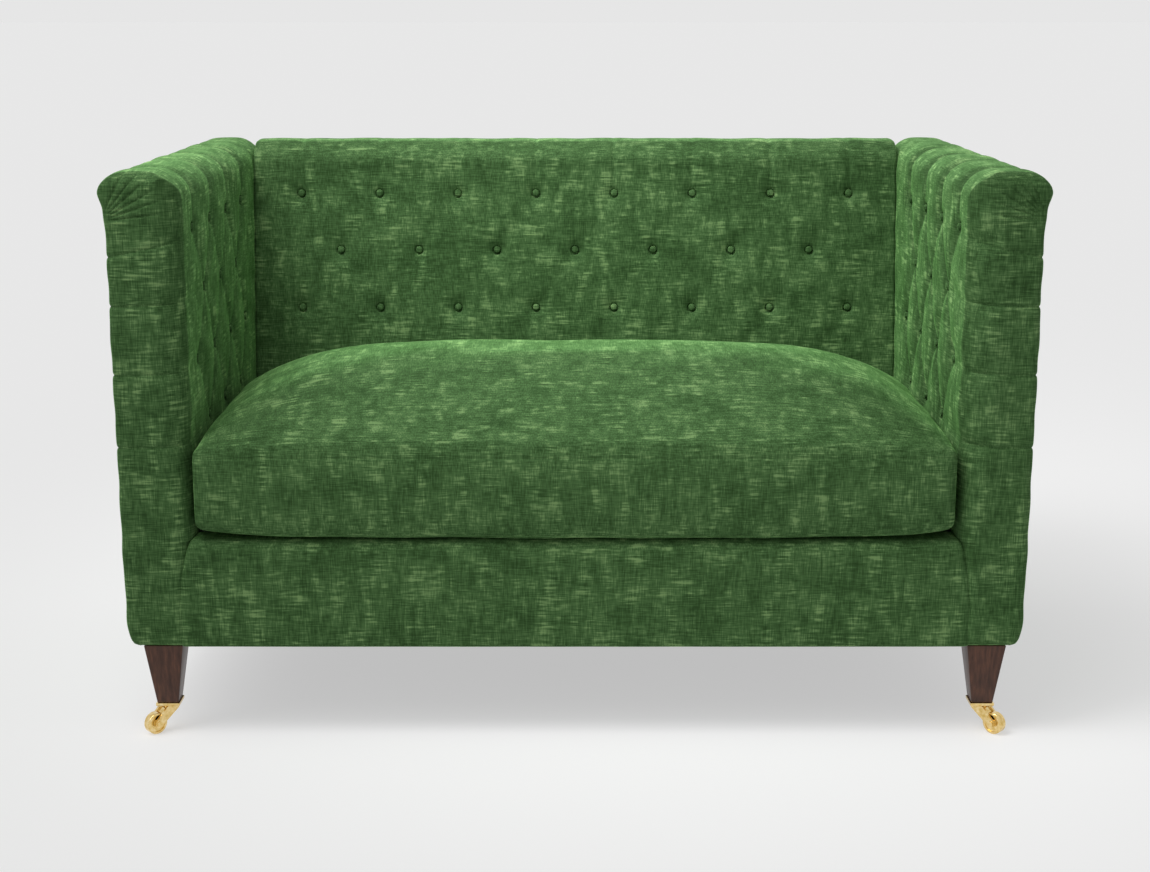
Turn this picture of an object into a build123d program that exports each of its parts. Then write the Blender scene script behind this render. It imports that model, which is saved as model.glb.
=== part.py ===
"""Two-seater sofa with arms level with the back, buttoned inside, one loose seat cushion, brass front castors.

Millimetres, +Z up, the front faces -Y, the origin is under the middle of the sofa on the floor.
Left is -X, as seen from the front. Right-hand pieces are drawn and mirrored.
"""
import os
from math import cos, radians, sin, tan

from build123d import *

os.makedirs("parts", exist_ok=True)

# Overall sizes
OVERALL_WIDTH = 1400  # across the rolled tops of the arms
OVERALL_HEIGHT = 872
BASE_HEIGHT = 143.5  # floor to the underside of the base
DECK_HEIGHT = 312  # floor to the platform under the cushion
SEAT_DEPTH = 590  # arm fronts to the inside back, at the platform
RAKE = 8.5  # degrees that the back leans

# Arms and back
ARM_THICKNESS = 111.5  # outside panel to the inner face of the pad
BACK_THICKNESS = 122  # level, from the inside back to the outside panel
ROLL_HEIGHT = 54  # padding over the top rails
ROLL_OVERHANG = 9.5  # how far the roll stands out over the panels
ROLL_LIP = 8  # radius under the roll
INNER_RADIUS = 46  # inner top edge of the pads
OUTER_RADIUS = 34  # outer top edge of the pads
FRONT_RADIUS = 20  # top front edge of the arms
FRONT_INNER_RADIUS = 18  # upright inner edge of the arm fronts
FRONT_OUTER_RADIUS = 8  # upright outer edge of the arm fronts
BASE_RADIUS = 14  # lower outer corner of the arm fronts
FRONT_PAD = 22  # padding in front of the frame
ARM_WRAP = 14  # cover and fibre wrap on the arm foam
ARM_FOAM = 16
BACK_WRAP = 16
BACK_FOAM = 40
FOAM_RIM = 12  # cover beyond the edge of the foam blocks
WEB_THICKNESS = 2
PANEL_THICKNESS = 6

# Buttoning
BUTTON_PITCH = 141.4
BUTTON_ROWS = (94, 195, 298, 399)  # below the top
BACK_COUNTS = (8, 7, 8, 7)
ARM_COUNTS = (4, 3, 4, 3)
ARM_FIRST_BUTTON = 122  # arm front to the first button of the top row
BUTTON_RADIUS = 7.5
BUTTON_HEIGHT = 6
BUTTON_EDGE = 3
BUTTON_ROOM = 1  # clear of the pocket wall
DIMPLE_DEPTH = 8
DIMPLE_RADIUS = 40
POCKET_DEPTH = 11
PLEAT_WIDTH = 3
PLEAT_DEPTH = 3

# Frame
BOARD = 28
POST_DEPTH = 70
TACKING_HEIGHT = 42
TACKING_GAP = 18  # platform to the tacking rails
TACKING_THICKNESS = 22
CENTRE_HEIGHT = 80
BLOCK_SIDE = 38
BLOCK_HEIGHT = 50
BLOCK_LIFT = 20
UPRIGHT_WIDTH = 45
UPRIGHT_PLACE = 200
STRAP_WIDTH = 50
ARM_STRAPS = 4
BACK_STRAPS = 6
STRAP_INSET = 60

# Seat platform
DECK_PAD = 22
HESSIAN = 1.5
BORDER_DEPTH = 64  # how far the front border rolls back over the rail
BORDER_INSET = 24.5  # border end to the inner face of the arm pad
BORDER_RADIUS = 28
BORDER_END_RADIUS = 20
DUST_COVER = 1.2
WIRE_RADIUS = 1.9
CLIP_WALL = 1.5
CLIP_ROOM = 0.1
CLIP_LENGTH = 26
CLIP_DEPTH = 12
SPRING_COUNT = 7
SPRING_BAR = 30  # straight part of a spring's bars
SPRING_BEND_PITCH = 36

# Seat cushion
CUSHION_ROOM = 1.5  # beside the arms and the back
CUSHION_LIFT = 0.4  # above the platform, so that the curved underside doesn't bite
CUSHION_BORDER = 140  # height of the box sides
CUSHION_CROWN = 104
CUSHION_SHOULDER = 190  # how far in the top has risen nearly to its crown
CUSHION_NOSE = 7  # bulge of the front
CUSHION_EDGE = 12  # rounding of the front and rear edges
CUSHION_DRAW = 5  # sides drawn in between the corners
CUSHION_CORNER = 14  # lower front corners lift
CORE_INSET = 24
CORE_HEIGHT = 112
ZIP_LENGTH = 880
ZIP_HEIGHT = 8

# Legs and castors
LEG_TOP = 60
LEG_FOOT = 33
LEG_INSET = 66  # outer edge of the roll to the middle of a leg
LEG_SETBACK = 36  # arm fronts to the middle of a front leg
REAR_LEG_TOP = 54
REAR_LEG_RAKE = 34
GLIDE_HEIGHT = 3
GLIDE_RADIUS = 11
BOLT_RADIUS = 4
BOLT_REACH = 40
BOLT_ROOM = 0.15
CASTOR_HEIGHT = 48
PLATE_SIDE = 36.6
PLATE_THICKNESS = 5
PLATE_CHAMFER = 1.2
SCREW_PLACE = 13
SCREW_RADIUS = 1.5
SCREW_HEAD = 2.8
SCREW_HEAD_HEIGHT = 1.4
SCREW_LENGTH = 14
SCREW_ROOM = 0.15
PIN_RADIUS = 4
PIN_HEAD = 6.4
PIN_HEAD_HEIGHT = 2.5
RUNNING_ROOM = 0.06
CROWN_RADIUS = 11.5
CROWN_HEIGHT = 6
SWIVEL_GAP = 0.8  # plate to the crown of the fork
WHEEL_RADIUS = 17
WHEEL_WIDTH = 13.5
WHEEL_RECESS = 2
WHEEL_RIM = 3.5
WHEEL_HUB = 6
AXLE_RADIUS = 3
AXLE_HEAD = 4.6
AXLE_HEAD_HEIGHT = 1.5
CHEEK_THICKNESS = 3.6
CHEEK_ROOM = 0.6
CHEEK_BOSS = 6.2
TRAIL = 28
SWIVEL_ANGLE = 45  # degrees that the wheels point forward of straight out

# Planes of the arms
X_ROLL = OVERALL_WIDTH / 2
X_OUT = X_ROLL - ROLL_OVERHANG
X_IN = X_OUT - ARM_THICKNESS
X_FOAM = X_IN + ARM_WRAP
X_WEB = X_FOAM + ARM_FOAM
X_FRAME = X_WEB + WEB_THICKNESS
X_PANEL = X_OUT - PANEL_THICKNESS
X_BORDER = X_IN + BORDER_INSET

# Heights
Z_TOP = OVERALL_HEIGHT
Z_ROLL = Z_TOP - ROLL_HEIGHT
Z_BASE = BASE_HEIGHT
Z_FRAME = Z_BASE + DUST_COVER
Z_DECK = DECK_HEIGHT
Z_PAD = Z_DECK - DECK_PAD
Z_HESSIAN = Z_PAD - HESSIAN
CLIP_HEIGHT = 2 * (CLIP_WALL + WIRE_RADIUS + CLIP_ROOM)
Z_RAIL = Z_HESSIAN - CLIP_HEIGHT
Z_WIRE = Z_RAIL + CLIP_HEIGHT / 2
Z_TACK = Z_DECK + TACKING_GAP
Z_TACK_TOP = Z_TACK + TACKING_HEIGHT
Z_TOP_RAIL = Z_ROLL - BOARD

# Depths, with the whole depth centred on the origin
SLOPE = tan(radians(RAKE))
DEPTH_TO_ROLL = SEAT_DEPTH + (Z_ROLL - Z_DECK) * SLOPE + BACK_THICKNESS + ROLL_OVERHANG
OVERALL_DEPTH = CUSHION_NOSE + DEPTH_TO_ROLL
Y_CUSHION = -OVERALL_DEPTH / 2
Y_FRONT = Y_CUSHION + CUSHION_NOSE
Y_ROLL = OVERALL_DEPTH / 2
Y_FRAME = Y_FRONT + FRONT_PAD
Y_RAIL_BACK = Y_FRAME + BOARD
Y_POST_BACK = Y_FRAME + POST_DEPTH
Y_BORDER_BACK = Y_FRONT + BORDER_DEPTH
BACK_WEB = BACK_WRAP + BACK_FOAM
BACK_FRAME = BACK_WEB + WEB_THICKNESS
BACK_PANEL = BACK_THICKNESS - PANEL_THICKNESS


def y_back(z, behind=0):
    """Depth of the leaning back at a height, this far behind its inside face."""
    return Y_FRONT + SEAT_DEPTH + (z - Z_DECK) * SLOPE + behind


Y_REAR_RAIL = y_back(Z_RAIL, BACK_FRAME + 2)
Y_DECK_BACK = y_back(Z_DECK, BACK_WEB)
ARM_WALL_BACK = BACK_WEB


def rounded_face(corners, place):
    """A face through corners (a, b, radius), each rounded where its radius isn't zero."""
    stops = []
    for i, (a, b, radius) in enumerate(corners):
        here = Vector(a, b)
        before = Vector(*corners[i - 1][:2])
        after = Vector(*corners[(i + 1) % len(corners)][:2])
        to_before = (before - here).normalized()
        to_after = (after - here).normalized()
        if radius == 0:
            stops.append((here, None, here))
            continue
        half = radians(to_before.get_angle(to_after)) / 2
        reach = radius / tan(half)
        centre = here + (to_before + to_after).normalized() * (radius / sin(half))
        middle = centre + (here - centre).normalized() * radius
        stops.append((here + to_before * reach, middle, here + to_after * reach))
    edges = []
    for i, (start, middle, end) in enumerate(stops):
        if middle is not None:
            edges.append(Edge.make_three_point_arc(place(start), place(middle), place(end)))
        following = stops[(i + 1) % len(stops)][0]
        if (following - end).length > 1e-6:
            edges.append(Edge.make_line(place(end), place(following)))
    return Face(Wire(edges))


def prism_x(corners, start, stop):
    """A solid from an outline of (y, z, radius) between two X planes."""
    face = rounded_face(corners, lambda p: Vector(start, p.X, p.Y))
    return extrude(face, amount=stop - start, dir=(1, 0, 0))


def prism_y(corners, start, stop):
    """A solid from an outline of (x, z, radius) between two Y planes."""
    face = rounded_face(corners, lambda p: Vector(p.X, start, p.Y))
    return extrude(face, amount=stop - start, dir=(0, 1, 0))


def prism_z(corners, start, stop):
    """A solid from an outline of (x, y, radius) between two Z planes."""
    face = rounded_face(corners, lambda p: Vector(p.X, p.Y, start))
    return extrude(face, amount=stop - start, dir=(0, 0, 1))


def block(x0, x1, y0, y1, z0, z1):
    """A box between opposite corners."""
    return Pos((x0 + x1) / 2, (y0 + y1) / 2, (z0 + z1) / 2) * Box(x1 - x0, y1 - y0, z1 - z0)


def leaning(x0, x1, z0, z1, near, far):
    """A board between two heights that leans with the back, from near to far behind its inside face."""
    corners = [
        (y_back(z0, near), z0, 0),
        (y_back(z1, near), z1, 0),
        (y_back(z1, far), z1, 0),
        (y_back(z0, far), z0, 0),
    ]
    return prism_x(corners, x0, x1)


def other_side(shape):
    """The left-hand copy of a right-hand piece."""
    return mirror(shape, about=Plane.YZ)


def keep(shape, name):
    """Write one node."""
    export_step(shape, f"parts/{name}.step")


def keep_pair(shape, name):
    """Write the right-hand node and its mirrored left-hand one."""
    keep(shape, f"right_{name}")
    keep(other_side(shape), f"left_{name}")


def keep_group(shapes, name):
    """Write several like solids as one node."""
    keep(Compound(children=[Compound(s.wrapped) for s in shapes]), name)


# Base frame
front_rail = block(-X_FRAME, X_FRAME, Y_FRAME, Y_RAIL_BACK, Z_FRAME, Z_RAIL)
rear_rail = block(-X_FRAME, X_FRAME, Y_REAR_RAIL, Y_REAR_RAIL + BOARD, Z_FRAME, Z_RAIL)
side_rail = prism_x(
    [
        (Y_POST_BACK, Z_FRAME, 0),
        (Y_POST_BACK, Z_RAIL, 0),
        (y_back(Z_RAIL, BACK_FRAME), Z_RAIL, 0),
        (y_back(Z_FRAME, BACK_FRAME), Z_FRAME, 0),
    ],
    X_PANEL - BOARD,
    X_PANEL,
)
centre_rail = block(-BOARD / 2, BOARD / 2, Y_RAIL_BACK, Y_REAR_RAIL, Z_FRAME, Z_FRAME + CENTRE_HEIGHT)
keep(front_rail, "front_seat_rail")
keep(rear_rail, "rear_seat_rail")
keep_pair(side_rail, "seat_side_rail")
keep(centre_rail, "centre_seat_rail")


def corner_block(x, y, to_x, to_y):
    """A three-cornered glue block in the angle at (x, y), its sides toward the given signs."""
    corners = [(x, y, 0), (x + to_x * BLOCK_SIDE, y, 0), (x, y + to_y * BLOCK_SIDE, 0)]
    return prism_z(corners, Z_FRAME + BLOCK_LIFT, Z_FRAME + BLOCK_LIFT + BLOCK_HEIGHT)


blocks = []
for side in (-1, 1):
    blocks.append(corner_block(side * X_FRAME, Y_RAIL_BACK, -side, 1))
    blocks.append(corner_block(side * BOARD / 2, Y_RAIL_BACK, side, 1))
    blocks.append(corner_block(side * BOARD / 2, Y_REAR_RAIL, side, -1))
keep_group(blocks, "corner_blocks")

# Legs are bolted into the posts, so both share these places
X_LEG = X_ROLL - LEG_INSET
Y_LEG = Y_FRONT + LEG_SETBACK
Y_REAR_LEG = y_back(Z_BASE, (BACK_FRAME + BACK_PANEL) / 2)


def bolt_hole(y):
    """Room for a leg bolt through the joint of leg and post."""
    return Pos(X_LEG, y, Z_BASE) * Cylinder(BOLT_RADIUS + BOLT_ROOM, 2 * BOLT_REACH)


# Arm and back frame
front_post = block(X_FRAME, X_PANEL, Y_FRAME, Y_POST_BACK, Z_BASE, Z_TOP_RAIL) - bolt_hole(Y_LEG)
rear_post = leaning(X_FRAME, X_PANEL, Z_BASE, Z_TOP_RAIL, BACK_FRAME, BACK_PANEL) - bolt_hole(Y_REAR_LEG)
arm_top_rail = prism_x(
    [
        (Y_FRAME, Z_TOP_RAIL, 0),
        (Y_FRAME, Z_ROLL, 0),
        (y_back(Z_ROLL, BACK_PANEL), Z_ROLL, 0),
        (y_back(Z_TOP_RAIL, BACK_PANEL), Z_TOP_RAIL, 0),
    ],
    X_FRAME,
    X_PANEL,
)
arm_tacking_rail = prism_x(
    [
        (Y_POST_BACK, Z_TACK, 0),
        (Y_POST_BACK, Z_TACK_TOP, 0),
        (y_back(Z_TACK_TOP, BACK_FRAME), Z_TACK_TOP, 0),
        (y_back(Z_TACK, BACK_FRAME), Z_TACK, 0),
    ],
    X_FRAME,
    X_FRAME + TACKING_THICKNESS,
)
keep_pair(front_post, "arm_front_post")
keep_pair(rear_post, "rear_post")
keep_pair(arm_top_rail, "arm_top_rail")
keep_pair(arm_tacking_rail, "arm_tacking_rail")
keep(leaning(-X_FRAME, X_FRAME, Z_TOP_RAIL, Z_ROLL, BACK_FRAME, BACK_PANEL), "back_top_rail")
keep(leaning(-X_FRAME, X_FRAME, Z_TACK, Z_TACK_TOP, BACK_FRAME, BACK_FRAME + BOARD), "back_tacking_rail")
uprights = [
    leaning(
        x - UPRIGHT_WIDTH / 2,
        x + UPRIGHT_WIDTH / 2,
        Z_TACK_TOP,
        Z_TOP_RAIL,
        BACK_FRAME,
        BACK_FRAME + BOARD,
    )
    for x in (-UPRIGHT_PLACE, UPRIGHT_PLACE)
]
keep_group(uprights, "back_uprights")

# Webbing, stretched from the tacking rails to the top rails
Z_WEB_LOW = Z_TACK + 4
Z_WEB_HIGH = Z_ROLL - 4
back_straps = []
for i in range(BACK_STRAPS):
    x = (i / (BACK_STRAPS - 1) - 0.5) * 2 * (X_IN - STRAP_INSET)
    x0 = x - STRAP_WIDTH / 2
    back_straps.append(leaning(x0, x0 + STRAP_WIDTH, Z_WEB_LOW, Z_WEB_HIGH, BACK_WEB, BACK_FRAME))
keep_group(back_straps, "back_webbing")

arm_straps = []
strap_first = Y_POST_BACK + STRAP_WIDTH / 2
strap_last = y_back(Z_WEB_LOW, BACK_FRAME) - STRAP_WIDTH
for i in range(ARM_STRAPS):
    y = strap_first + (strap_last - strap_first) * i / (ARM_STRAPS - 1)
    strap = block(X_WEB, X_FRAME, y - STRAP_WIDTH / 2, y + STRAP_WIDTH / 2, Z_WEB_LOW, Z_WEB_HIGH)
    arm_straps.append(strap)
keep_group(arm_straps, "right_arm_webbing")
keep_group([other_side(s) for s in arm_straps], "left_arm_webbing")

# Zigzag seat springs in their clips
Y_CLIP_FRONT = Y_FRAME + BOARD / 2
Y_CLIP_REAR = Y_REAR_RAIL + BOARD / 2
spring_run = Y_CLIP_REAR - Y_CLIP_FRONT
bends = 2 * round(spring_run / SPRING_BEND_PITCH / 2)
bend_radius = spring_run / bends / 2
spring_bits = []
for i in range(bends + 1):
    y = Y_CLIP_FRONT + 2 * bend_radius * i
    turn = 1 if i % 2 == 0 else -1
    bar = Pos(0, y, Z_WIRE) * Rot(0, 90, 0) * Cylinder(WIRE_RADIUS, SPRING_BAR)
    spring_bits.append(bar)
    if i < bends:
        hub = Vector(turn * SPRING_BAR / 2, y + bend_radius, Z_WIRE)
        ring = Plane(origin=(hub.X, y, Z_WIRE), z_dir=(turn, 0, 0)) * Circle(WIRE_RADIUS)
        spring_bits.append(revolve(ring, Axis(hub, (0, 0, turn)), 180))
spring = spring_bits[0] + spring_bits[1:]
spring_places = [(i - (SPRING_COUNT - 1) / 2) * 2 * X_IN / SPRING_COUNT for i in range(SPRING_COUNT)]
keep_group([Pos(x, 0, 0) * spring for x in spring_places], "seat_springs")


def spring_clip(x, y, facing):
    """A clip on a rail, open toward the middle of the seat, round a spring's end bar."""
    slot = 2 * (WIRE_RADIUS + CLIP_ROOM)
    heel = y - facing * (WIRE_RADIUS + CLIP_ROOM + CLIP_WALL)
    toe = heel + facing * CLIP_DEPTH
    inner = heel + facing * CLIP_WALL
    corners = [
        (heel, Z_RAIL, 0),
        (toe, Z_RAIL, 0),
        (toe, Z_RAIL + CLIP_WALL, 0),
        (inner, Z_RAIL + CLIP_WALL, 0),
        (inner, Z_RAIL + CLIP_WALL + slot, 0),
        (toe, Z_RAIL + CLIP_WALL + slot, 0),
        (toe, Z_HESSIAN, 0),
        (heel, Z_HESSIAN, 0),
    ]
    return prism_x(corners, x - CLIP_LENGTH / 2, x + CLIP_LENGTH / 2)


clips = [spring_clip(x, Y_CLIP_FRONT, 1) for x in spring_places]
clips += [spring_clip(x, Y_CLIP_REAR, -1) for x in spring_places]
keep_group(clips, "spring_clips")

# Platform over the springs
keep(block(-X_WEB, X_WEB, Y_FRAME, Y_DECK_BACK, Z_HESSIAN, Z_PAD), "seat_hessian")
keep(block(-X_WEB, X_WEB, Y_BORDER_BACK, Y_DECK_BACK, Z_PAD, Z_DECK), "platform_pad")
border = prism_x(
    [
        (Y_FRONT, Z_BASE, 4),
        (Y_FRONT, Z_DECK, BORDER_RADIUS),
        (Y_BORDER_BACK, Z_DECK, 0),
        (Y_BORDER_BACK, Z_PAD, 0),
        (Y_FRAME, Z_PAD, 0),
        (Y_FRAME, Z_BASE, 0),
    ],
    -X_BORDER,
    X_BORDER,
)
border_ends = prism_y(
    [
        (-X_BORDER, Z_BASE, 0),
        (-X_BORDER, Z_DECK, BORDER_END_RADIUS),
        (X_BORDER, Z_DECK, BORDER_END_RADIUS),
        (X_BORDER, Z_BASE, 0),
    ],
    Y_FRONT,
    Y_BORDER_BACK,
)
keep(border & border_ends, "front_border")

# Foam blocks of the arms and back
foam_top = Z_ROLL - FOAM_RIM
foam_low = Z_DECK + FOAM_RIM
arm_foam = prism_x(
    [
        (Y_FRAME + FOAM_RIM, foam_low, 0),
        (Y_FRAME + FOAM_RIM, foam_top, 0),
        (y_back(foam_top, ARM_WALL_BACK - FOAM_RIM), foam_top, 0),
        (y_back(foam_low, ARM_WALL_BACK - FOAM_RIM), foam_low, 0),
    ],
    X_FOAM,
    X_WEB,
)
keep_pair(arm_foam, "arm_foam")
back_foam = leaning(-X_IN + FOAM_RIM, X_IN - FOAM_RIM, foam_low, foam_top, BACK_WRAP, BACK_WEB)
keep(back_foam, "back_foam")

# Buttons and the pockets they are drawn into
dimple_ball = (DIMPLE_RADIUS**2 + DIMPLE_DEPTH**2) / (2 * DIMPLE_DEPTH)
button = Cylinder(BUTTON_RADIUS, BUTTON_HEIGHT, align=(Align.CENTER, Align.CENTER, Align.MIN))
button = fillet(button.edges().sort_by(Axis.Z)[-1], BUTTON_EDGE)


def tuft(at, out):
    """What a button takes from a pad at a point of its face, and the button; out points away from the pad."""
    seat = Plane(origin=at, z_dir=out)
    ball = seat * Pos(0, 0, dimple_ball - DIMPLE_DEPTH) * Sphere(dimple_ball)
    well = Cylinder(
        BUTTON_RADIUS + BUTTON_ROOM,
        POCKET_DEPTH,
        align=(Align.CENTER, Align.CENTER, Align.MAX),
    )
    return [ball, seat * well], seat * Pos(0, 0, -POCKET_DEPTH) * button


def row_places(count):
    """Places along a row of buttons, centred on zero."""
    return [(i - (count - 1) / 2) * BUTTON_PITCH for i in range(count)]


arm_cuts = []
arm_buttons = []
arm_middle = Y_FRONT + ARM_FIRST_BUTTON + (ARM_COUNTS[0] - 1) / 2 * BUTTON_PITCH
for below, count in zip(BUTTON_ROWS, ARM_COUNTS):
    for along in row_places(count):
        cuts, one = tuft((X_IN, arm_middle + along, Z_TOP - below), (-1, 0, 0))
        arm_cuts += cuts
        arm_buttons.append(one)
keep_group(arm_buttons, "right_arm_buttons")
keep_group([other_side(b) for b in arm_buttons], "left_arm_buttons")

back_cuts = []
back_buttons = []
back_out = (0, -cos(radians(RAKE)), sin(radians(RAKE)))
for below, count in zip(BUTTON_ROWS, BACK_COUNTS):
    z = Z_TOP - below
    for along in row_places(count):
        cuts, one = tuft((along, y_back(z), z), back_out)
        back_cuts += cuts
        back_buttons.append(one)
keep_group(back_buttons, "back_buttons")

# Inside arm covers: inner face, rolled top and front in one piece, open round the frame
Y_BEYOND = Y_ROLL + 50
roll_corners = [(X_ROLL, Z_TOP, OUTER_RADIUS), (X_ROLL, Z_ROLL, ROLL_LIP), (X_OUT, Z_ROLL, 0)]
arm_section = [(X_IN, Z_DECK, 0), (X_IN, Z_TOP, INNER_RADIUS), *roll_corners]
arm_section += [(X_WEB, Z_ROLL, 0), (X_WEB, Z_DECK, 0)]
arm_wall = prism_y(arm_section, Y_FRONT, Y_BEYOND)
arm_front = prism_y(
    [
        (X_BORDER, Z_BASE, 0),
        (X_BORDER, Z_DECK, 0),
        (X_IN, Z_DECK, 0),
        (X_IN, Z_ROLL, 0),
        (X_OUT, Z_ROLL, 0),
        (X_OUT, Z_BASE, BASE_RADIUS),
    ],
    Y_FRONT,
    Y_FRAME,
)
arm_side = prism_x(
    [
        (Y_FRONT, Z_BASE, 0),
        (Y_FRONT, Z_TOP, FRONT_RADIUS),
        (Y_ROLL, Z_TOP, OUTER_RADIUS),
        (Y_ROLL, Z_ROLL, ROLL_LIP),
        (y_back(Z_ROLL, BACK_THICKNESS), Z_ROLL, 0),
        (y_back(Z_ROLL, ARM_WALL_BACK), Z_ROLL, 0),
        (y_back(Z_DECK, ARM_WALL_BACK), Z_DECK, 0),
        (y_back(Z_DECK, ARM_WALL_BACK), Z_BASE, 0),
    ],
    X_IN,
    X_ROLL,
)
arm_plan = prism_z(
    [
        (X_IN, Y_FRONT, FRONT_INNER_RADIUS),
        (X_ROLL, Y_FRONT, FRONT_OUTER_RADIUS + ROLL_OVERHANG),
        (X_ROLL, Y_ROLL, OUTER_RADIUS),
        (X_IN, Y_ROLL, 0),
    ],
    Z_BASE,
    Z_TOP,
)


def pleats(places, solid_inside, slab):
    """Narrow cuts over a rolled top, one at each place, down to the solid inside."""
    return [slab(place) - solid_inside for place in places]


def arm_slab(y):
    """The space of one pleat on an arm, from the top button row over to the crest."""
    half = PLEAT_WIDTH / 2
    low = Z_TOP - BUTTON_ROWS[0]
    return block(X_IN - 1, X_ROLL - OUTER_RADIUS, y - half, y + half, low, Z_TOP + 1)


arm_inside = prism_y(
    [
        (X_IN + PLEAT_DEPTH, Z_DECK, 0),
        (X_IN + PLEAT_DEPTH, Z_TOP - PLEAT_DEPTH, INNER_RADIUS - PLEAT_DEPTH),
        (X_ROLL, Z_TOP - PLEAT_DEPTH, 0),
        (X_ROLL, Z_DECK, 0),
    ],
    Y_FRONT,
    Y_BEYOND,
)
arm_pleats = pleats([arm_middle + p for p in row_places(ARM_COUNTS[0])], arm_inside, arm_slab)
arm_cover = (arm_wall + arm_front) & arm_side & arm_plan
arm_cover = arm_cover - arm_foam - arm_cuts - arm_pleats
keep_pair(arm_cover, "inside_arm_cover")

# Inside back cover between the arms
back_section = [
    (y_back(Z_DECK), Z_DECK, 0),
    (y_back(Z_TOP), Z_TOP, INNER_RADIUS),
    (Y_ROLL, Z_TOP, OUTER_RADIUS),
    (Y_ROLL, Z_ROLL, ROLL_LIP),
    (y_back(Z_ROLL, BACK_THICKNESS), Z_ROLL, 0),
    (y_back(Z_ROLL, BACK_WEB), Z_ROLL, 0),
    (y_back(Z_DECK, BACK_WEB), Z_DECK, 0),
]


def back_slab(x):
    """The space of one pleat on the back."""
    half = PLEAT_WIDTH / 2
    low = Z_TOP - BUTTON_ROWS[0]
    return block(x - half, x + half, y_back(low) - 1, Y_ROLL - OUTER_RADIUS, low, Z_TOP + 1)


drop = PLEAT_DEPTH / cos(radians(RAKE))
back_inside = prism_x(
    [
        (y_back(Z_DECK, drop), Z_DECK, 0),
        (y_back(Z_TOP - PLEAT_DEPTH, drop), Z_TOP - PLEAT_DEPTH, INNER_RADIUS - PLEAT_DEPTH),
        (Y_ROLL, Z_TOP - PLEAT_DEPTH, 0),
        (Y_ROLL, Z_DECK, 0),
    ],
    -X_IN,
    X_IN,
)
back_pleats = pleats(row_places(BACK_COUNTS[0]), back_inside, back_slab)
back_cover = prism_x(back_section, -X_IN, X_IN) - back_foam - back_cuts - back_pleats
keep(back_cover, "inside_back_cover")

# Outside panels and the cloth under the base
outside_arm = prism_x(
    [
        (Y_FRAME, Z_BASE, 0),
        (Y_FRAME, Z_ROLL, 0),
        (y_back(Z_ROLL, BACK_PANEL), Z_ROLL, 0),
        (y_back(Z_BASE, BACK_PANEL), Z_BASE, 0),
    ],
    X_PANEL,
    X_OUT,
)
keep_pair(outside_arm, "outside_arm_panel")
keep(leaning(-X_OUT, X_OUT, Z_BASE, Z_ROLL, BACK_PANEL, BACK_THICKNESS), "outside_back_panel")
dust = block(-X_PANEL, X_PANEL, Y_FRAME, y_back(Z_BASE, BACK_PANEL), Z_BASE, Z_FRAME)
for side in (-1, 1):
    inner, outer = sorted((side * X_FRAME, side * X_PANEL))
    dust -= block(inner, outer, Y_FRAME, Y_POST_BACK, Z_BASE, Z_FRAME)
    dust -= block(inner, outer, y_back(Z_BASE, BACK_FRAME), Y_ROLL, Z_BASE, Z_FRAME)
keep(dust, "dust_cover")

# Seat cushion: a crowned cover round a foam core
CUSHION_HALF = X_IN - CUSHION_ROOM
Z_CUSHION = Z_DECK + CUSHION_LIFT
Z_SEAM = Z_CUSHION + CUSHION_BORDER
Y_CUSHION_BACK = y_back(Z_CUSHION) - CUSHION_ROOM - CUSHION_NOSE
CUSHION_LENGTH = Y_CUSHION_BACK - Y_FRONT


def cushion_section(y, crown, draw, lift, inset=0):
    """One cross-section of the cushion: flat under, box sides, and a crowned top with rounded shoulders."""
    half = CUSHION_HALF - draw - inset
    low = Z_CUSHION + inset
    seam = Z_SEAM - inset
    shoulder = Vector(half - CUSHION_SHOULDER, 0, seam + 0.92 * crown)
    peak = Vector(0, 0, seam + crown)
    edge = Vector(half, 0, seam)
    slope = 2 * (peak.Z - shoulder.Z) / shoulder.X
    normal = Vector(-slope, 0, -1).normalized()
    reach = edge - shoulder
    radius = reach.dot(reach) / (2 * normal.dot(reach))
    centre = shoulder + normal * radius
    between = ((edge - centre).normalized() + (shoulder - centre).normalized()).normalized()
    swell = centre + between * radius
    at = Vector(0, y, 0)

    def flip(v):
        return Vector(-v.X, v.Y, v.Z)

    foot = Vector(half - lift / 2, 0, low + lift)
    mid = Vector(0, 0, low)
    edges = [
        Edge.make_line(flip(foot) + at, mid + at) if lift == 0 else
        Edge.make_three_point_arc(flip(foot) + at, mid + at, foot + at),
        Edge.make_line(foot + at, edge + at),
        Edge.make_three_point_arc(edge + at, swell + at, shoulder + at),
        Edge.make_three_point_arc(shoulder + at, peak + at, flip(shoulder) + at),
        Edge.make_three_point_arc(flip(shoulder) + at, flip(swell) + at, flip(edge) + at),
        Edge.make_line(flip(edge) + at, flip(foot) + at),
    ]
    return Face(Wire(edges))


cushion_stations = [
    (0.00, 0.10, 0.0, 1.0),
    (0.08, 0.40, 0.3, 0.8),
    (0.24, 0.80, 0.8, 0.4),
    (0.50, 1.00, 1.0, 0.3),
    (0.76, 0.80, 0.8, 0.4),
    (0.92, 0.40, 0.3, 0.8),
    (1.00, 0.10, 0.0, 1.0),
]
sections = [
    cushion_section(
        Y_FRONT + t * CUSHION_LENGTH,
        rise * CUSHION_CROWN,
        pull * CUSHION_DRAW,
        up * CUSHION_CORNER,
    )
    for t, rise, pull, up in cushion_stations
]
first_crown = cushion_stations[0][1] * CUSHION_CROWN
front_end = cushion_section(Y_CUSHION, first_crown, 0, CUSHION_CORNER, CUSHION_EDGE)
rear_end = cushion_section(Y_CUSHION_BACK + CUSHION_NOSE, first_crown, 0, CUSHION_CORNER, CUSHION_EDGE)
cushion = loft(sections)
cushion += loft([front_end, sections[0]], ruled=True)
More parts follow.
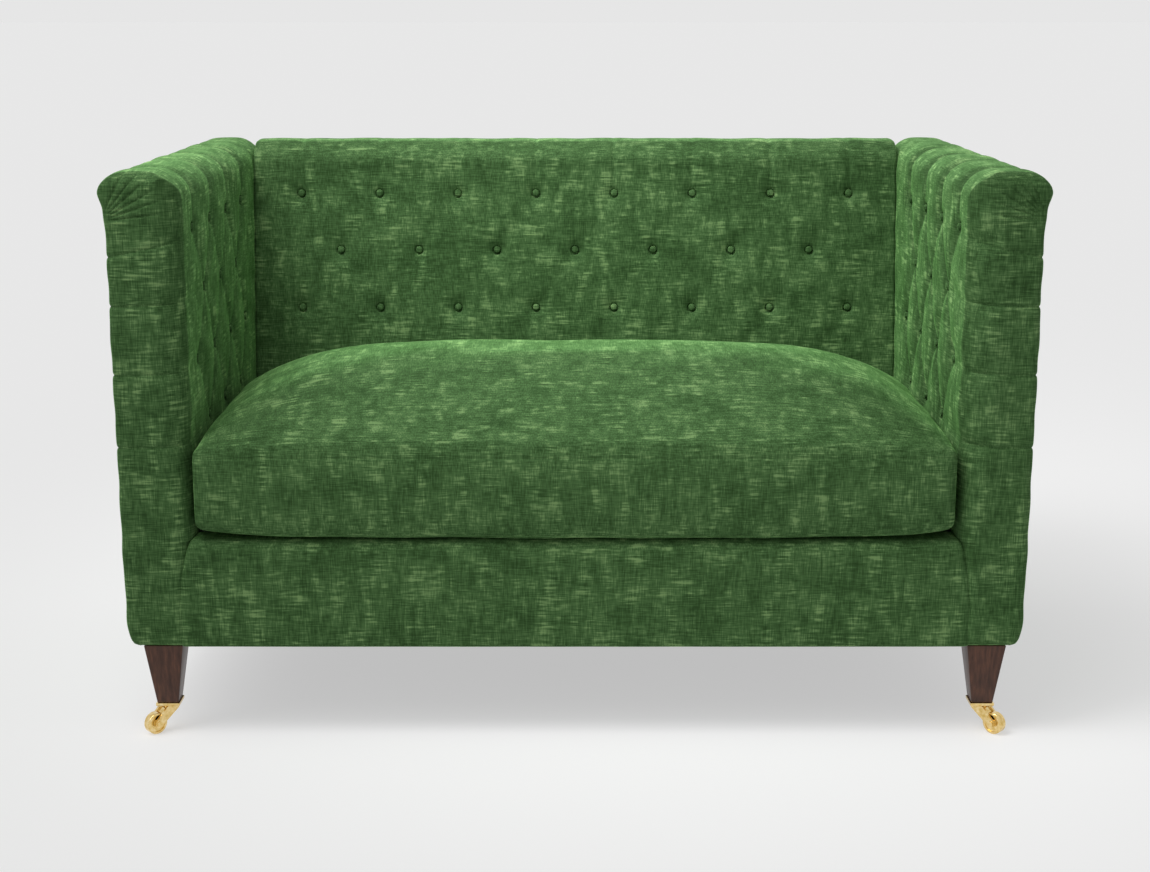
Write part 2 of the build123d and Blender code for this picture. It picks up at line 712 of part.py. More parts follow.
cushion += loft([sections[-1], rear_end], ruled=True)
core_x = CUSHION_HALF - CORE_INSET
core_front = Y_FRONT + CORE_INSET
core_back = Y_CUSHION_BACK - CORE_INSET
core_low = Z_CUSHION + CORE_INSET
core = block(-core_x, core_x, core_front, core_back, core_low, core_low + CORE_HEIGHT)
zip_low = core_low + (CORE_HEIGHT - ZIP_HEIGHT) / 2
zip_strip = block(-ZIP_LENGTH / 2, ZIP_LENGTH / 2, core_back, Y_CUSHION_BACK, zip_low, zip_low + ZIP_HEIGHT)
zip_slot = zip_strip + Pos(0, CUSHION_NOSE, 0) * zip_strip
keep(cushion - core - zip_slot, "seat_cushion_cover")
keep(core, "seat_cushion_core")
keep(zip_strip, "seat_cushion_zip")

# Legs
Z_PLATE = CASTOR_HEIGHT
front_top = Pos(X_LEG, Y_LEG, Z_BASE) * Rectangle(LEG_TOP, LEG_TOP)
front_foot = Pos(X_LEG, Y_LEG, Z_PLATE) * Rectangle(LEG_FOOT, LEG_FOOT)
front_leg = loft([front_foot.face(), front_top.face()], ruled=True) - bolt_hole(Y_LEG)
screw_places = [(sx * SCREW_PLACE, sy * SCREW_PLACE) for sx in (-1, 1) for sy in (-1, 1)]
for dx, dy in screw_places:
    hole = Cylinder(SCREW_RADIUS + SCREW_ROOM, 2 * SCREW_LENGTH)
    front_leg -= Pos(X_LEG + dx, Y_LEG + dy, Z_PLATE) * hole
keep_pair(front_leg, "front_leg")
rear_top = Pos(X_LEG, Y_REAR_LEG, Z_BASE) * Rectangle(LEG_TOP, REAR_LEG_TOP)
rear_foot = Pos(X_LEG, Y_REAR_LEG + REAR_LEG_RAKE, GLIDE_HEIGHT) * Rectangle(LEG_FOOT, LEG_FOOT)
rear_leg = loft([rear_foot.face(), rear_top.face()], ruled=True) - bolt_hole(Y_REAR_LEG)
keep_pair(rear_leg, "rear_leg")
glide = Pos(X_LEG, Y_REAR_LEG + REAR_LEG_RAKE, GLIDE_HEIGHT / 2) * Cylinder(GLIDE_RADIUS, GLIDE_HEIGHT)
keep_group([glide, other_side(glide)], "leg_glides")
bolts = []
for y in (Y_LEG, Y_REAR_LEG):
    bolt = Pos(X_LEG, y, Z_BASE) * Cylinder(BOLT_RADIUS, 2 * BOLT_REACH - 2)
    bolts += [bolt, other_side(bolt)]
keep_group(bolts, "leg_bolts")

# Castors: plate and pin stay with the leg, the fork swivels, the wheel runs on its axle
Z_PLATE_LOW = Z_PLATE - PLATE_THICKNESS
Z_CROWN = Z_PLATE_LOW - SWIVEL_GAP
Z_CROWN_LOW = Z_CROWN - CROWN_HEIGHT
plate = Pos(X_LEG, Y_LEG, (Z_PLATE + Z_PLATE_LOW) / 2) * Box(PLATE_SIDE, PLATE_SIDE, PLATE_THICKNESS)
plate = chamfer(plate.faces().sort_by(Axis.Z)[0].edges(), PLATE_CHAMFER)
plate -= Pos(X_LEG, Y_LEG, Z_PLATE) * Cylinder(PIN_RADIUS, 3 * PLATE_THICKNESS)
screws = []
for dx, dy in screw_places:
    hole = Cylinder(SCREW_RADIUS + SCREW_ROOM, 3 * PLATE_THICKNESS)
    plate -= Pos(X_LEG + dx, Y_LEG + dy, Z_PLATE) * hole
    stem = Cylinder(SCREW_RADIUS, SCREW_LENGTH, align=(Align.CENTER, Align.CENTER, Align.MIN))
    head = Cylinder(SCREW_HEAD, SCREW_HEAD_HEIGHT, align=(Align.CENTER, Align.CENTER, Align.MAX))
    screw = Pos(X_LEG + dx, Y_LEG + dy, Z_PLATE_LOW) * (stem + head)
    screws += [screw, other_side(screw)]
keep_pair(plate, "castor_plate")
keep_group(screws, "castor_screws")
pin_shaft = Cylinder(PIN_RADIUS, Z_PLATE - Z_CROWN_LOW, align=(Align.CENTER, Align.CENTER, Align.MIN))
pin_head = Cylinder(PIN_HEAD, PIN_HEAD_HEIGHT, align=(Align.CENTER, Align.CENTER, Align.MAX))
pin = Pos(X_LEG, Y_LEG, Z_CROWN_LOW) * (pin_shaft + Pos(0, 0, -RUNNING_ROOM) * pin_head)
pin += Pos(X_LEG, Y_LEG, Z_CROWN_LOW) * Cylinder(PIN_RADIUS, 4 * RUNNING_ROOM)
keep_pair(pin, "castor_king_pin")

# Fork and wheel, drawn with the trail along +X at the origin, then turned to their place
cheek_in = WHEEL_WIDTH / 2 + CHEEK_ROOM
cheek_out = cheek_in + CHEEK_THICKNESS
cheek_outline = [
    (-CROWN_RADIUS + 3, Z_CROWN_LOW, 2),
    (-CROWN_RADIUS + 3, Z_CROWN, 0),
    (CROWN_RADIUS, Z_CROWN, 5),
    (TRAIL + 5, WHEEL_RADIUS + 4.5, 4),
    (TRAIL - 3, WHEEL_RADIUS - 5.5, 3),
]
fork = Pos(0, 0, (Z_CROWN + Z_CROWN_LOW) / 2) * Cylinder(cheek_out, CROWN_HEIGHT)
for side in (-1, 1):
    start, stop = sorted((side * cheek_in, side * cheek_out))
    fork += prism_y(cheek_outline, start, stop)
    boss = Cylinder(CHEEK_BOSS, CHEEK_THICKNESS)
    fork += Pos(TRAIL, (start + stop) / 2, WHEEL_RADIUS) * Rot(90, 0, 0) * boss
fork -= Pos(0, 0, Z_CROWN) * Cylinder(PIN_RADIUS + RUNNING_ROOM, 4 * CROWN_HEIGHT)
fork -= Pos(TRAIL, 0, WHEEL_RADIUS) * Rot(90, 0, 0) * Cylinder(AXLE_RADIUS, 4 * cheek_out)
axle = Cylinder(AXLE_RADIUS, 2 * cheek_out)
for side in (-1, 1):
    cap = Cylinder(AXLE_HEAD, AXLE_HEAD_HEIGHT)
    axle += Pos(0, 0, side * (cheek_out + AXLE_HEAD_HEIGHT / 2)) * cap
axle = Pos(TRAIL, 0, WHEEL_RADIUS) * Rot(90, 0, 0) * axle
wheel = Cylinder(WHEEL_RADIUS, WHEEL_WIDTH)
wheel = fillet(wheel.edges().filter_by(GeomType.CIRCLE), 1.5)
for side in (-1, 1):
    ring = Cylinder(WHEEL_RADIUS - WHEEL_RIM, WHEEL_RECESS) - Cylinder(WHEEL_HUB, WHEEL_RECESS)
    wheel -= Pos(0, 0, side * (WHEEL_WIDTH - WHEEL_RECESS) / 2) * ring
wheel -= Cylinder(AXLE_RADIUS + RUNNING_ROOM, 2 * WHEEL_WIDTH)
wheel = Pos(TRAIL, 0, WHEEL_RADIUS) * Rot(90, 0, 0) * wheel
to_place = Pos(X_LEG, Y_LEG, 0) * Rot(0, 0, -SWIVEL_ANGLE)
keep_pair(to_place * fork, "castor_fork")
keep_pair(to_place * axle, "castor_axle")
keep_pair(to_place * wheel, "castor_wheel")
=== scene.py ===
import math

import bpy
import numpy as np
from mathutils import Matrix, Vector


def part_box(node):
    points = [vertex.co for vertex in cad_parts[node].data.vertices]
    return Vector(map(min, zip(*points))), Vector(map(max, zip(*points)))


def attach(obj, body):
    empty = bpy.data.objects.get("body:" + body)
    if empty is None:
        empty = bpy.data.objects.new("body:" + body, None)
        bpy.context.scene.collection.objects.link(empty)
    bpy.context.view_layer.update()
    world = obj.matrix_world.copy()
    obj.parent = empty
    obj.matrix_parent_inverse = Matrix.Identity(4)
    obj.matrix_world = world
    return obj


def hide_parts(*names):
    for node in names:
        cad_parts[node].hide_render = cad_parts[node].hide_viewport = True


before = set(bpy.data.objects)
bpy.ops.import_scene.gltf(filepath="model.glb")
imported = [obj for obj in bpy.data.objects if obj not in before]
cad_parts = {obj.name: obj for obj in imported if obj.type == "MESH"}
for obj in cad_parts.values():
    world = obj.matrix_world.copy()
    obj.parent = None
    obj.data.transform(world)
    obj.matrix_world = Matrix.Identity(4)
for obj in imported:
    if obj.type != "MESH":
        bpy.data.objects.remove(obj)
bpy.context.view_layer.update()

# Beech frame: seat rails, posts, arm and back rails and corner blocks.
# Sawn and planed beech, doweled and glued, all of it under the upholstery.
def hexed(code):
    """An sRGB hex colour as linear red, green, blue and alpha."""
    parts = [int(code[i:i + 2], 16) / 255 for i in (1, 3, 5)]
    return tuple(c / 12.92 if c <= 0.04045 else ((c + 0.055) / 1.055) ** 2.4 for c in parts) + (1.0,)


def add_node(tree, kind, settings=None, links=None):
    """Adds a node, sets its sockets, own settings or colour stops by name, and links other sockets to it."""
    node = tree.nodes.new(kind)
    for name, value in (settings or {}).items():
        if name == "stops":
            while len(node.color_ramp.elements) < len(value):
                node.color_ramp.elements.new(0.5)
            for element, (place, code) in zip(node.color_ramp.elements, value):
                element.position, element.color = place, hexed(code)
        elif isinstance(name, int) or name in node.inputs:
            node.inputs[name].default_value = value
        else:
            setattr(node, name, value)
    for name, source in (links or {}).items():
        tree.links.new(source, node.inputs[name])
    return node


def begin_material(name, **sockets):
    """A new material with a Principled shader whose sockets are set; gives material, tree and shader."""
    material = bpy.data.materials.new(name)
    material.use_nodes = True
    tree = material.node_tree
    tree.nodes.clear()
    shader = add_node(tree, "ShaderNodeBsdfPrincipled", {k.replace("_", " "): v for k, v in sockets.items()})
    add_node(tree, "ShaderNodeOutputMaterial", links={"Surface": shader.outputs[0]})
    return material, tree, shader


def dress(names, material):
    """Gives CAD nodes that stay their own material."""
    for name in names:
        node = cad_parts[name]
        node.data.materials.clear()
        node.data.materials.append(material)


def bevel_where(piece, radius, steps, test):
    """Rounds the edges of a piece whose two ends both pass a test of their place."""
    bpy.context.view_layer.objects.active = piece
    bpy.ops.object.mode_set(mode="EDIT")
    bpy.ops.mesh.select_mode(type="EDGE")
    bpy.ops.mesh.select_all(action="DESELECT")
    bpy.ops.object.mode_set(mode="OBJECT")
    points = piece.data.vertices
    for edge in piece.data.edges:
        edge.select = all(test(points[i].co) for i in edge.vertices)
    bpy.ops.object.mode_set(mode="EDIT")
    bpy.ops.mesh.bevel(offset=radius, segments=steps, profile=0.5, affect="EDGES")
    bpy.ops.object.mode_set(mode="OBJECT")


def smooth_all(piece, degrees=None):
    """Smooth shading, broken at edges sharper than the angle if one is given."""
    bpy.ops.object.select_all(action="DESELECT")
    piece.select_set(True)
    bpy.context.view_layer.objects.active = piece
    if degrees is None:
        bpy.ops.object.shade_smooth()
    else:
        bpy.ops.object.shade_smooth_by_angle(angle=math.radians(degrees))


def finish_piece(piece, material, body, nodes):
    """The last step of a piece: its material, its body and the CAD nodes it stands for."""
    piece.data.materials.clear()
    piece.data.materials.append(material)
    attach(piece, body)
    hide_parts(*nodes)


# Planed beech: pale pinkish brown with short dark flecks along the grain, satin.
BEECH_FLECK = (0.030, 0.0016)  # length and width of the flecks
for run, names in {
    "x": ["front_seat_rail", "rear_seat_rail", "back_top_rail", "back_tacking_rail"],
    "y": [
        "left_seat_side_rail", "right_seat_side_rail", "centre_seat_rail", "left_arm_top_rail",
        "right_arm_top_rail", "left_arm_tacking_rail", "right_arm_tacking_rail",
    ],
    "z": [
        "left_rear_post", "right_rear_post", "back_uprights", "corner_blocks",
    ],
}.items():
    beech, tree, shader = begin_material("planed_beech_" + run, Roughness=0.55)
    place = add_node(tree, "ShaderNodeTexCoord").outputs["Object"]
    grain = [1 / BEECH_FLECK[0 if axis == run else 1] for axis in "xyz"]
    turned = add_node(tree, "ShaderNodeMapping", {"Scale": grain}, {"Vector": place})
    fleck = add_node(tree, "ShaderNodeTexNoise", {"Scale": 1.0, "Detail": 3.0}, {"Vector": turned.outputs[0]})
    tones = [(0.3, "#B98A5E"), (0.6, "#D3A878"), (0.8, "#DDB78C")]
    tone = add_node(tree, "ShaderNodeValToRGB", {"stops": tones}, {"Fac": fleck.outputs[0]})
    tree.links.new(tone.outputs[0], shader.inputs["Base Color"])
    dress(names, beech)

# The foot of each arm front post is eased on its outer side, so that the cover goes round it smoothly.
BASE, ARM_PANEL = 0.1435, 0.6845  # underside of the upholstery, and the outer side of the frame
POST_EASE = 0.016  # radius of the eased foot
for node in ("left_arm_front_post", "right_arm_front_post"):
    post = bpy.data.objects.new(node + "_beech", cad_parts[node].data.copy())
    post.data.transform(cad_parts[node].matrix_world)
    bpy.context.collection.objects.link(post)
    bpy.ops.object.select_all(action="DESELECT")
    post.select_set(True)
    bpy.context.view_layer.objects.active = post
    bpy.ops.object.mode_set(mode="EDIT")
    bpy.ops.mesh.select_all(action="SELECT")
    bpy.ops.mesh.remove_doubles(threshold=0.00001)
    bpy.ops.object.mode_set(mode="OBJECT")
    bevel_where(post, POST_EASE, 5, lambda v: v.z < BASE + 0.001 and abs(v.x) > ARM_PANEL - 0.001)
    smooth_all(post, 40)
    finish_piece(post, beech, "sofa", [node])

# Springs, clips, webbing and hessian: the suspension of seat, back and arms.
# Zigzag steel springs in clips with hessian over them; woven webbing tacked across back and arms.
# Blued spring steel: dark, with a dull sheen and faint streaks of oil.
steel, tree, shader = begin_material("blued_spring_steel", Metallic=1.0)
place = add_node(tree, "ShaderNodeTexCoord").outputs["Object"]
streak = add_node(tree, "ShaderNodeTexNoise", {"Scale": 1 / 0.02, "Detail": 2.0}, {"Vector": place})
tone = add_node(tree, "ShaderNodeValToRGB", {"stops": [(0.3, "#5B5F66"), (0.7, "#8A8E94")]},
                {"Fac": streak.outputs[0]})
tree.links.new(tone.outputs[0], shader.inputs["Base Color"])
rough = add_node(tree, "ShaderNodeMapRange", {"To Min": 0.3, "To Max": 0.5}, {"Value": streak.outputs[0]})
tree.links.new(rough.outputs[0], shader.inputs["Roughness"])
dress(["seat_springs", "spring_clips", "leg_bolts"], steel)

# Jute webbing, hessian and foam: their threads and cells are drawn as fine noise of their own size.
for name, names, slot, thread, tones in (
    ("jute_webbing", ["back_webbing", "left_arm_webbing", "right_arm_webbing"], "webbing", 0.003,
     ("#6E5B3C", "#A48C5F")),
    ("jute_hessian", ["seat_hessian"], "hessian", 0.002, ("#7A6644", "#B59C6C")),
    ("polyurethane_foam", ["left_arm_foam", "right_arm_foam", "back_foam", "seat_cushion_core"], "foam",
     0.0015, ("#D9CFA8", "#EFE7C6")),
):
    cloth, tree, shader = begin_material(name, Roughness=0.95)
    place = add_node(tree, "ShaderNodeTexCoord").outputs["Object"]
    weave = add_node(tree, "ShaderNodeTexNoise", {"Scale": 1 / thread, "Detail": 1.0}, {"Vector": place})
    tone = add_node(tree, "ShaderNodeValToRGB", {"stops": [(0.35, tones[0]), (0.65, tones[1])]},
                    {"Fac": weave.outputs[0]})
    tree.links.new(tone.outputs[0], shader.inputs["Base Color"])
    dress(names, cloth)

# Legs: four tapered legs of solid wood, stained espresso and varnished, bolted up into the corner blocks.
# Square at the top, drawn in to the castor or the glide, with softened edges that catch the light.
def mesh_object(name):
    """The active object, renamed, with its place, turn and size put into its mesh."""
    piece = bpy.context.active_object
    piece.name = piece.data.name = name
    bpy.ops.object.transform_apply(location=True, rotation=True, scale=True)
    return piece


def add_block(name, low, high):
    """A cube from its lowest to its highest corner, as the start of a piece."""
    bpy.ops.object.select_all(action="DESELECT")
    low, high = Vector(low), Vector(high)
    bpy.ops.mesh.primitive_cube_add(size=1, location=(low + high) / 2, scale=high - low)
    return mesh_object(name)


def apply_modifier(piece, kind, **settings):
    """Adds a modifier with its settings and applies it."""
    bpy.context.view_layer.objects.active = piece
    modifier = piece.modifiers.new(kind.lower(), kind)
    for name, value in settings.items():
        setattr(modifier, name, value)
    bpy.ops.object.modifier_apply(modifier=modifier.name)


def points_of(piece):
    """The places of a piece's points, one row each."""
    rows = np.empty(len(piece.data.vertices) * 3)
    piece.data.vertices.foreach_get("co", rows)
    return rows.reshape(-1, 3)


def move_points(piece, rows):
    """Puts a piece's points at new places."""
    piece.data.vertices.foreach_set("co", rows.ravel())
    piece.data.update()


# Espresso stained beech under satin varnish: near-black brown, reddish along the grain, clear highlights.
espresso, tree, shader = begin_material(
    "espresso_stained_wood", Coat_Weight=0.12, Coat_Roughness=0.15, IOR=1.45, Specular_IOR_Level=0.3,
)
LEG_GRAIN = (0.0045, 0.0045, 0.05)  # width, width and length of the grain streaks
place = add_node(tree, "ShaderNodeTexCoord").outputs["Object"]
turned = add_node(tree, "ShaderNodeMapping", {"Scale": [1 / s for s in LEG_GRAIN]}, {"Vector": place})
grain = add_node(tree, "ShaderNodeTexNoise", {"Scale": 1.0, "Detail": 4.0}, {"Vector": turned.outputs[0]})
tones = [(0.3, "#3C251B"), (0.55, "#543629"), (0.8, "#6C4632")]
tone = add_node(tree, "ShaderNodeValToRGB", {"stops": tones}, {"Fac": grain.outputs[0]})
tree.links.new(tone.outputs[0], shader.inputs["Base Color"])
rough = add_node(tree, "ShaderNodeMapRange", {"To Min": 0.26, "To Max": 0.42}, {"Value": grain.outputs[0]})
tree.links.new(rough.outputs[0], shader.inputs["Roughness"])

LEG_TOP, LEG_FOOT = 0.060, 0.033  # side of the square at the top and at the bottom
LEG_ACROSS = 0.634  # from the middle of the sofa
LEG_PLACES = (("front", -0.359061, -0.359061), ("rear", 0.256757, 0.290757))  # depth of top and of foot
LEG_LET_IN = 0.003  # length hidden in the upholstery
LEG_EDGE = 0.0018
for side, sign in (("left", -1), ("right", 1)):
    for end, top_y, foot_y in LEG_PLACES:
        node = side + "_" + end + "_leg"
        low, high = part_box(node)
        middle, half = sign * LEG_ACROSS, LEG_TOP / 2
        leg = add_block(node + "_wood", (middle - half, top_y - half, low[2]),
                        (middle + half, top_y + half, high[2] + LEG_LET_IN))
        rows = points_of(leg)
        foot = rows[:, 2] < low[2] + 0.001
        shrink = LEG_FOOT / LEG_TOP
        rows[foot, 0] = middle + (rows[foot, 0] - middle) * shrink
        rows[foot, 1] = foot_y + (rows[foot, 1] - top_y) * shrink
        move_points(leg, rows)
        bevel_where(leg, LEG_EDGE, 3, lambda v: True)
        smooth_all(leg, 40)
        finish_piece(leg, espresso, "sofa", [node])

# Glides: two nylon discs nailed under the rear legs, so that the sofa slides and the floor isn't scratched.
# Moulded nylon, off-white, slightly scuffed.
nylon, tree, shader = begin_material("moulded_nylon", IOR=1.53)
place = add_node(tree, "ShaderNodeTexCoord").outputs["Object"]
scuff = add_node(tree, "ShaderNodeTexNoise", {"Scale": 1 / 0.004, "Detail": 3.0}, {"Vector": place})
tone = add_node(tree, "ShaderNodeValToRGB", {"stops": [(0.35, "#CFCBBF"), (0.65, "#E4E1D6")]},
                {"Fac": scuff.outputs[0]})
tree.links.new(tone.outputs[0], shader.inputs["Base Color"])
rough = add_node(tree, "ShaderNodeMapRange", {"To Min": 0.35, "To Max": 0.6}, {"Value": scuff.outputs[0]})
tree.links.new(rough.outputs[0], shader.inputs["Roughness"])
dress(["leg_glides"], nylon)

# Castors: plate, king pin, fork, axle and wheel on each front leg, held by four screws.
# Cast and turned brass, polished and lacquered, a little duller where the lacquer has worn.
brass, tree, shader = begin_material("polished_brass", Metallic=1.0)
place = add_node(tree, "ShaderNodeTexCoord").outputs["Object"]
wear = add_node(tree, "ShaderNodeTexNoise", {"Scale": 1 / 0.006, "Detail": 4.0}, {"Vector": place})
tones = [(0.3, "#D6B568"), (0.55, "#ECD092"), (0.8, "#F8E6B8")]
tone = add_node(tree, "ShaderNodeValToRGB", {"stops": tones}, {"Fac": wear.outputs[0]})
tree.links.new(tone.outputs[0], shader.inputs["Base Color"])
rough = add_node(tree, "ShaderNodeMapRange", {"To Min": 0.07, "To Max": 0.18}, {"Value": wear.outputs[0]})
tree.links.new(rough.outputs[0], shader.inputs["Roughness"])
castor_nodes = ["castor_screws"]
for side in ("left", "right"):
    castor_nodes += [side + "_castor_" + part for part in ("plate", "king_pin", "fork", "axle", "wheel")]
dress(castor_nodes, brass)

# Inside arm covers: one piece of velvet each over the inner face, the rolled top and the front.
# Padded with foam on webbing, buttoned in diamonds, pleated over the top and tucked at the front corner.
BUTTON_RADIUS, BUTTON_HEIGHT = 0.0060, 0.006


def ramp_between(a, b, value):
    """0 at a, 1 at b and a smooth step between, also where a is larger than b."""
    t = np.clip((value - a) / (b - a), 0.0, 1.0)
    return t * t * (3 - 2 * t)


def fold_depth(u, v, start, end, width, at_ends, at_middle):
    """Depth of a fold that runs straight between two places on a flat face, deepest at its ends."""
    along = Vector(end) - Vector(start)
    t = ((u - start[0]) * along.x + (v - start[1]) * along.y) / along.length_squared
    t = np.clip(t, 0.0, 1.0)
    gap = np.hypot(u - start[0] - t * along.x, v - start[1] - t * along.y)
    deep = at_middle + (at_ends - at_middle) * np.abs(2 * t - 1) ** 1.6
    return deep * np.exp(-gap / width)


def buttoned(u, v, rows, hollow_depth, hollow_reach, fold_width, fold_ends, fold_middle):
    """Depth of a buttoned face: a hollow at each button and folds to the neighbours in the next row."""
    hollow = np.zeros_like(u)
    fold = np.zeros_like(u)
    for index, row in enumerate(rows):
        for place in row:
            gap = np.hypot(u - place[0], v - place[1])
            dip = hollow_depth * np.exp(-(np.clip(gap - BUTTON_RADIUS, 0, None) / hollow_reach) ** 1.2)
            hollow = np.maximum(hollow, dip + 0.0040 * ramp_between(0.0088, 0.0064, gap))
            for other in rows[index + 1] if index + 1 < len(rows) else ():
                if abs(other[0] - place[0]) < 0.08:
                    line = fold_depth(u, v, place, other, fold_width, fold_ends, fold_middle)
                    fold = np.maximum(fold, line)
    return np.maximum(hollow, fold) + 0.35 * np.minimum(hollow, fold)


def refine_where(piece, cuts, test):
    """Divides the faces of a piece whose middles pass a test of their place, for finer detail there."""
    bpy.context.view_layer.objects.active = piece
    bpy.ops.object.mode_set(mode="EDIT")
    bpy.ops.mesh.select_mode(type="FACE")
    bpy.ops.mesh.select_all(action="DESELECT")
    bpy.ops.object.mode_set(mode="OBJECT")
    middles = np.empty(len(piece.data.polygons) * 3)
    piece.data.polygons.foreach_get("center", middles)
    piece.data.polygons.foreach_set("select", test(*middles.reshape(-1, 3).T))
    bpy.ops.object.mode_set(mode="EDIT")
    bpy.ops.mesh.subdivide(number_cuts=cuts)
    bpy.ops.object.mode_set(mode="OBJECT")


def near_button(u, v, rows):
    """Whether places on a flat face lie beside a button."""
    return np.min([np.hypot(u - a, v - b) for row in rows for a, b in row], axis=0) < 0.015


def round_corner(u, v, radius):
    """Draws points beside two faces that meet at 0, 0 in to a rounded edge of that radius."""
    a, b = np.clip(radius - u, 0, None), np.clip(radius - v, 0, None)
    far = np.hypot(a, b)
    shrink = np.where(far > radius, radius / np.maximum(far, 1e-9), 1.0)
    both = (a > 0) & (b > 0)
    return np.where(both, radius - a * shrink, u), np.where(both, radius - b * shrink, v)


def push_in(piece, depth):
    """Moves each point of a piece inwards along its normal."""
    rows = points_of(piece)
    out = np.empty(len(rows) * 3)
    piece.data.vertices.foreach_get("normal", out)
    move_points(piece, rows - out.reshape(-1, 3) * depth[:, None])


# Crushed velvet, woven in green, with a short pile: slubs lying along and across it in lighter and darker
# dashes, over fine crossed threads. Its colour is made lighter where the cloth is seen edge-on, a painted
# sheen.
velvet, tree, shader = begin_material(
    "green_crushed_velvet", Roughness=0.8, Sheen_Weight=0.30, Sheen_Roughness=0.25, IOR=1.45,
    Sheen_Tint=hexed("#7FBF63"), Specular_IOR_Level=0.15,
)
VELVET_THREAD = (0.020, 0.0018)  # a thread as it shows, drawn coarser than the real 0.5 mm
VELVET_STREAK = (0.011, 0.034)  # width and height of the brushed streaks across
VELVET_CLOUD = (0.075, 0.045)  # lighter and darker areas
VELVET_SLUB = (0.040, 0.0042)  # length and height of the slubs in the weft
VELVET_CLUSTER = (0.020, 0.050)  # width and height of the bars in the warp where slubs show
place = add_node(tree, "ShaderNodeTexCoord")
parts = add_node(tree, "ShaderNodeSeparateXYZ", links={0: place.outputs["Object"]})
lying = add_node(tree, "ShaderNodeCombineXYZ",
                 links={0: parts.outputs[0], 1: parts.outputs[2], 2: parts.outputs[1]})
facing = add_node(tree, "ShaderNodeSeparateXYZ", links={0: place.outputs["Normal"]})
upward = add_node(tree, "ShaderNodeMath", {"operation": "ABSOLUTE"}, {0: facing.outputs[2]})
flat = add_node(tree, "ShaderNodeMath", {"operation": "GREATER_THAN", 1: 0.72}, {0: upward.outputs[0]})
turned = add_node(tree, "ShaderNodeMix", {"data_type": "VECTOR"},
                  {0: flat.outputs[0], 4: place.outputs["Object"], 5: lying.outputs[0]})
cloth = turned.outputs[1]
layers = {}
for name, (along, across) in (("weft", VELVET_THREAD), ("warp", VELVET_THREAD[::-1]), ("cloud", VELVET_CLOUD),
                              ("streak", VELVET_STREAK), ("slub", VELVET_SLUB), ("cluster", VELVET_CLUSTER)):
    scale = (1 / along, 1 / along, 1 / across)
    sized = add_node(tree, "ShaderNodeMapping", {"Scale": scale}, {"Vector": cloth})
    noise = add_node(tree, "ShaderNodeTexNoise", {"Scale": 1.0, "Detail": 1.0}, {"Vector": sized.outputs[0]})
    layers[name] = noise.outputs[0]
gathered = add_node(tree, "ShaderNodeMapRange", {"From Min": 0.44, "From Max": 0.70},
                    {"Value": layers["cluster"]})
raised = add_node(tree, "ShaderNodeMapRange", {"From Min": 0.40, "From Max": 0.72}, {"Value": layers["slub"]})
slubs = add_node(tree, "ShaderNodeMath", {"operation": "MULTIPLY"},
                 {0: gathered.outputs[0], 1: raised.outputs[0]})
level = add_node(tree, "ShaderNodeMath", {"operation": "MULTIPLY_ADD", 1: 0.30, 2: -0.104},
                 {0: slubs.outputs[0]})
for name, share in (("weft", 0.36), ("warp", 0.38), ("cloud", 0.24), ("streak", 0.22)):
    level = add_node(tree, "ShaderNodeMath", {"operation": "MULTIPLY_ADD", 1: share},
                     {0: layers[name], 2: level.outputs[0]})
tones = [(0.34, "#294420"), (0.46, "#38572E"), (0.58, "#4A6B3E"), (0.76, "#73935D")]
tone = add_node(tree, "ShaderNodeValToRGB", {"stops": tones}, {"Fac": level.outputs[0]})
PAINTED_SHEEN_LIFT = 2.25  # how many times lighter the colour is painted where the cloth is seen edge-on: painted sheen
# Painted sheen: the Layer Weight facing value scales the base colour up towards the grazing view.
edge = add_node(tree, "ShaderNodeLayerWeight", {"Blend": 0.5})
painted_sheen_gain = add_node(tree, "ShaderNodeMapRange", {"interpolation_type": "SMOOTHSTEP", "From Min": 0.55,
                                             "From Max": 0.93, "To Min": 1.0, "To Max": PAINTED_SHEEN_LIFT},
                {"Value": edge.outputs["Facing"]})
sheen_painted_tone = add_node(tree, "ShaderNodeVectorMath", {"operation": "SCALE"},
                {0: tone.outputs[0], "Scale": painted_sheen_gain.outputs[0]})
tree.links.new(sheen_painted_tone.outputs[0], shader.inputs["Base Color"])
thread = add_node(tree, "ShaderNodeMath", {"operation": "ADD"}, {0: layers["weft"], 1: layers["warp"]})
slub = add_node(tree, "ShaderNodeMath", {"operation": "MULTIPLY_ADD", 1: 0.8},
                {0: slubs.outputs[0], 2: thread.outputs[0]})
relief = add_node(tree, "ShaderNodeBump", {"Strength": 0.3, "Distance": 0.001}, {"Height": slub.outputs[0]})
tree.links.new(relief.outputs[0], shader.inputs["Normal"])

FRONT, ROLL_BACK = -0.395061, 0.402061  # front face of the arms, and the rear of the roll
SEAT_DEPTH = 0.590
SLOPE = 0.149451  # rake of the back, run over rise
ARM_IN, ARM_BORDER, ARM_OUT, ARM_ROLL = 0.579, 0.583, 0.6905, 0.700  # faces of an arm, from the middle
DECK, ROLL, TOP = 0.312, 0.818, 0.872  # heights of the platform, of the underside of the roll and of the top
ROLL_INNER, ROLL_OUTER = 0.046, 0.034  # radii of the roll's two sides
BUTTON_PITCH = 0.1414
BUTTON_HEIGHTS = (0.778, 0.677, 0.574, 0.473)
ARM_MIDDLE = FRONT + 0.3341  # depth of the middle of the arm's button rows
ARM_CREASES = ((0.768, 0.746), (0.676, 0.673), (0.572, 0.570), (0.462, 0.459))  # inner and outer end of each
CREASE_DEPTH, CREASE_WIDTH = 0.0027, 0.0021
TUCK_DEPTH, TUCK_WIDTH = 0.0031, 0.0018
FAN_X, FAN_Z = 0.694, 0.800  # where the tucks of the front corner come together


def raked(z, behind):
    """Depth of the leaning back's face at a height, or of what lies behind it."""
    return FRONT + SEAT_DEPTH + (z - DECK) * SLOPE + behind


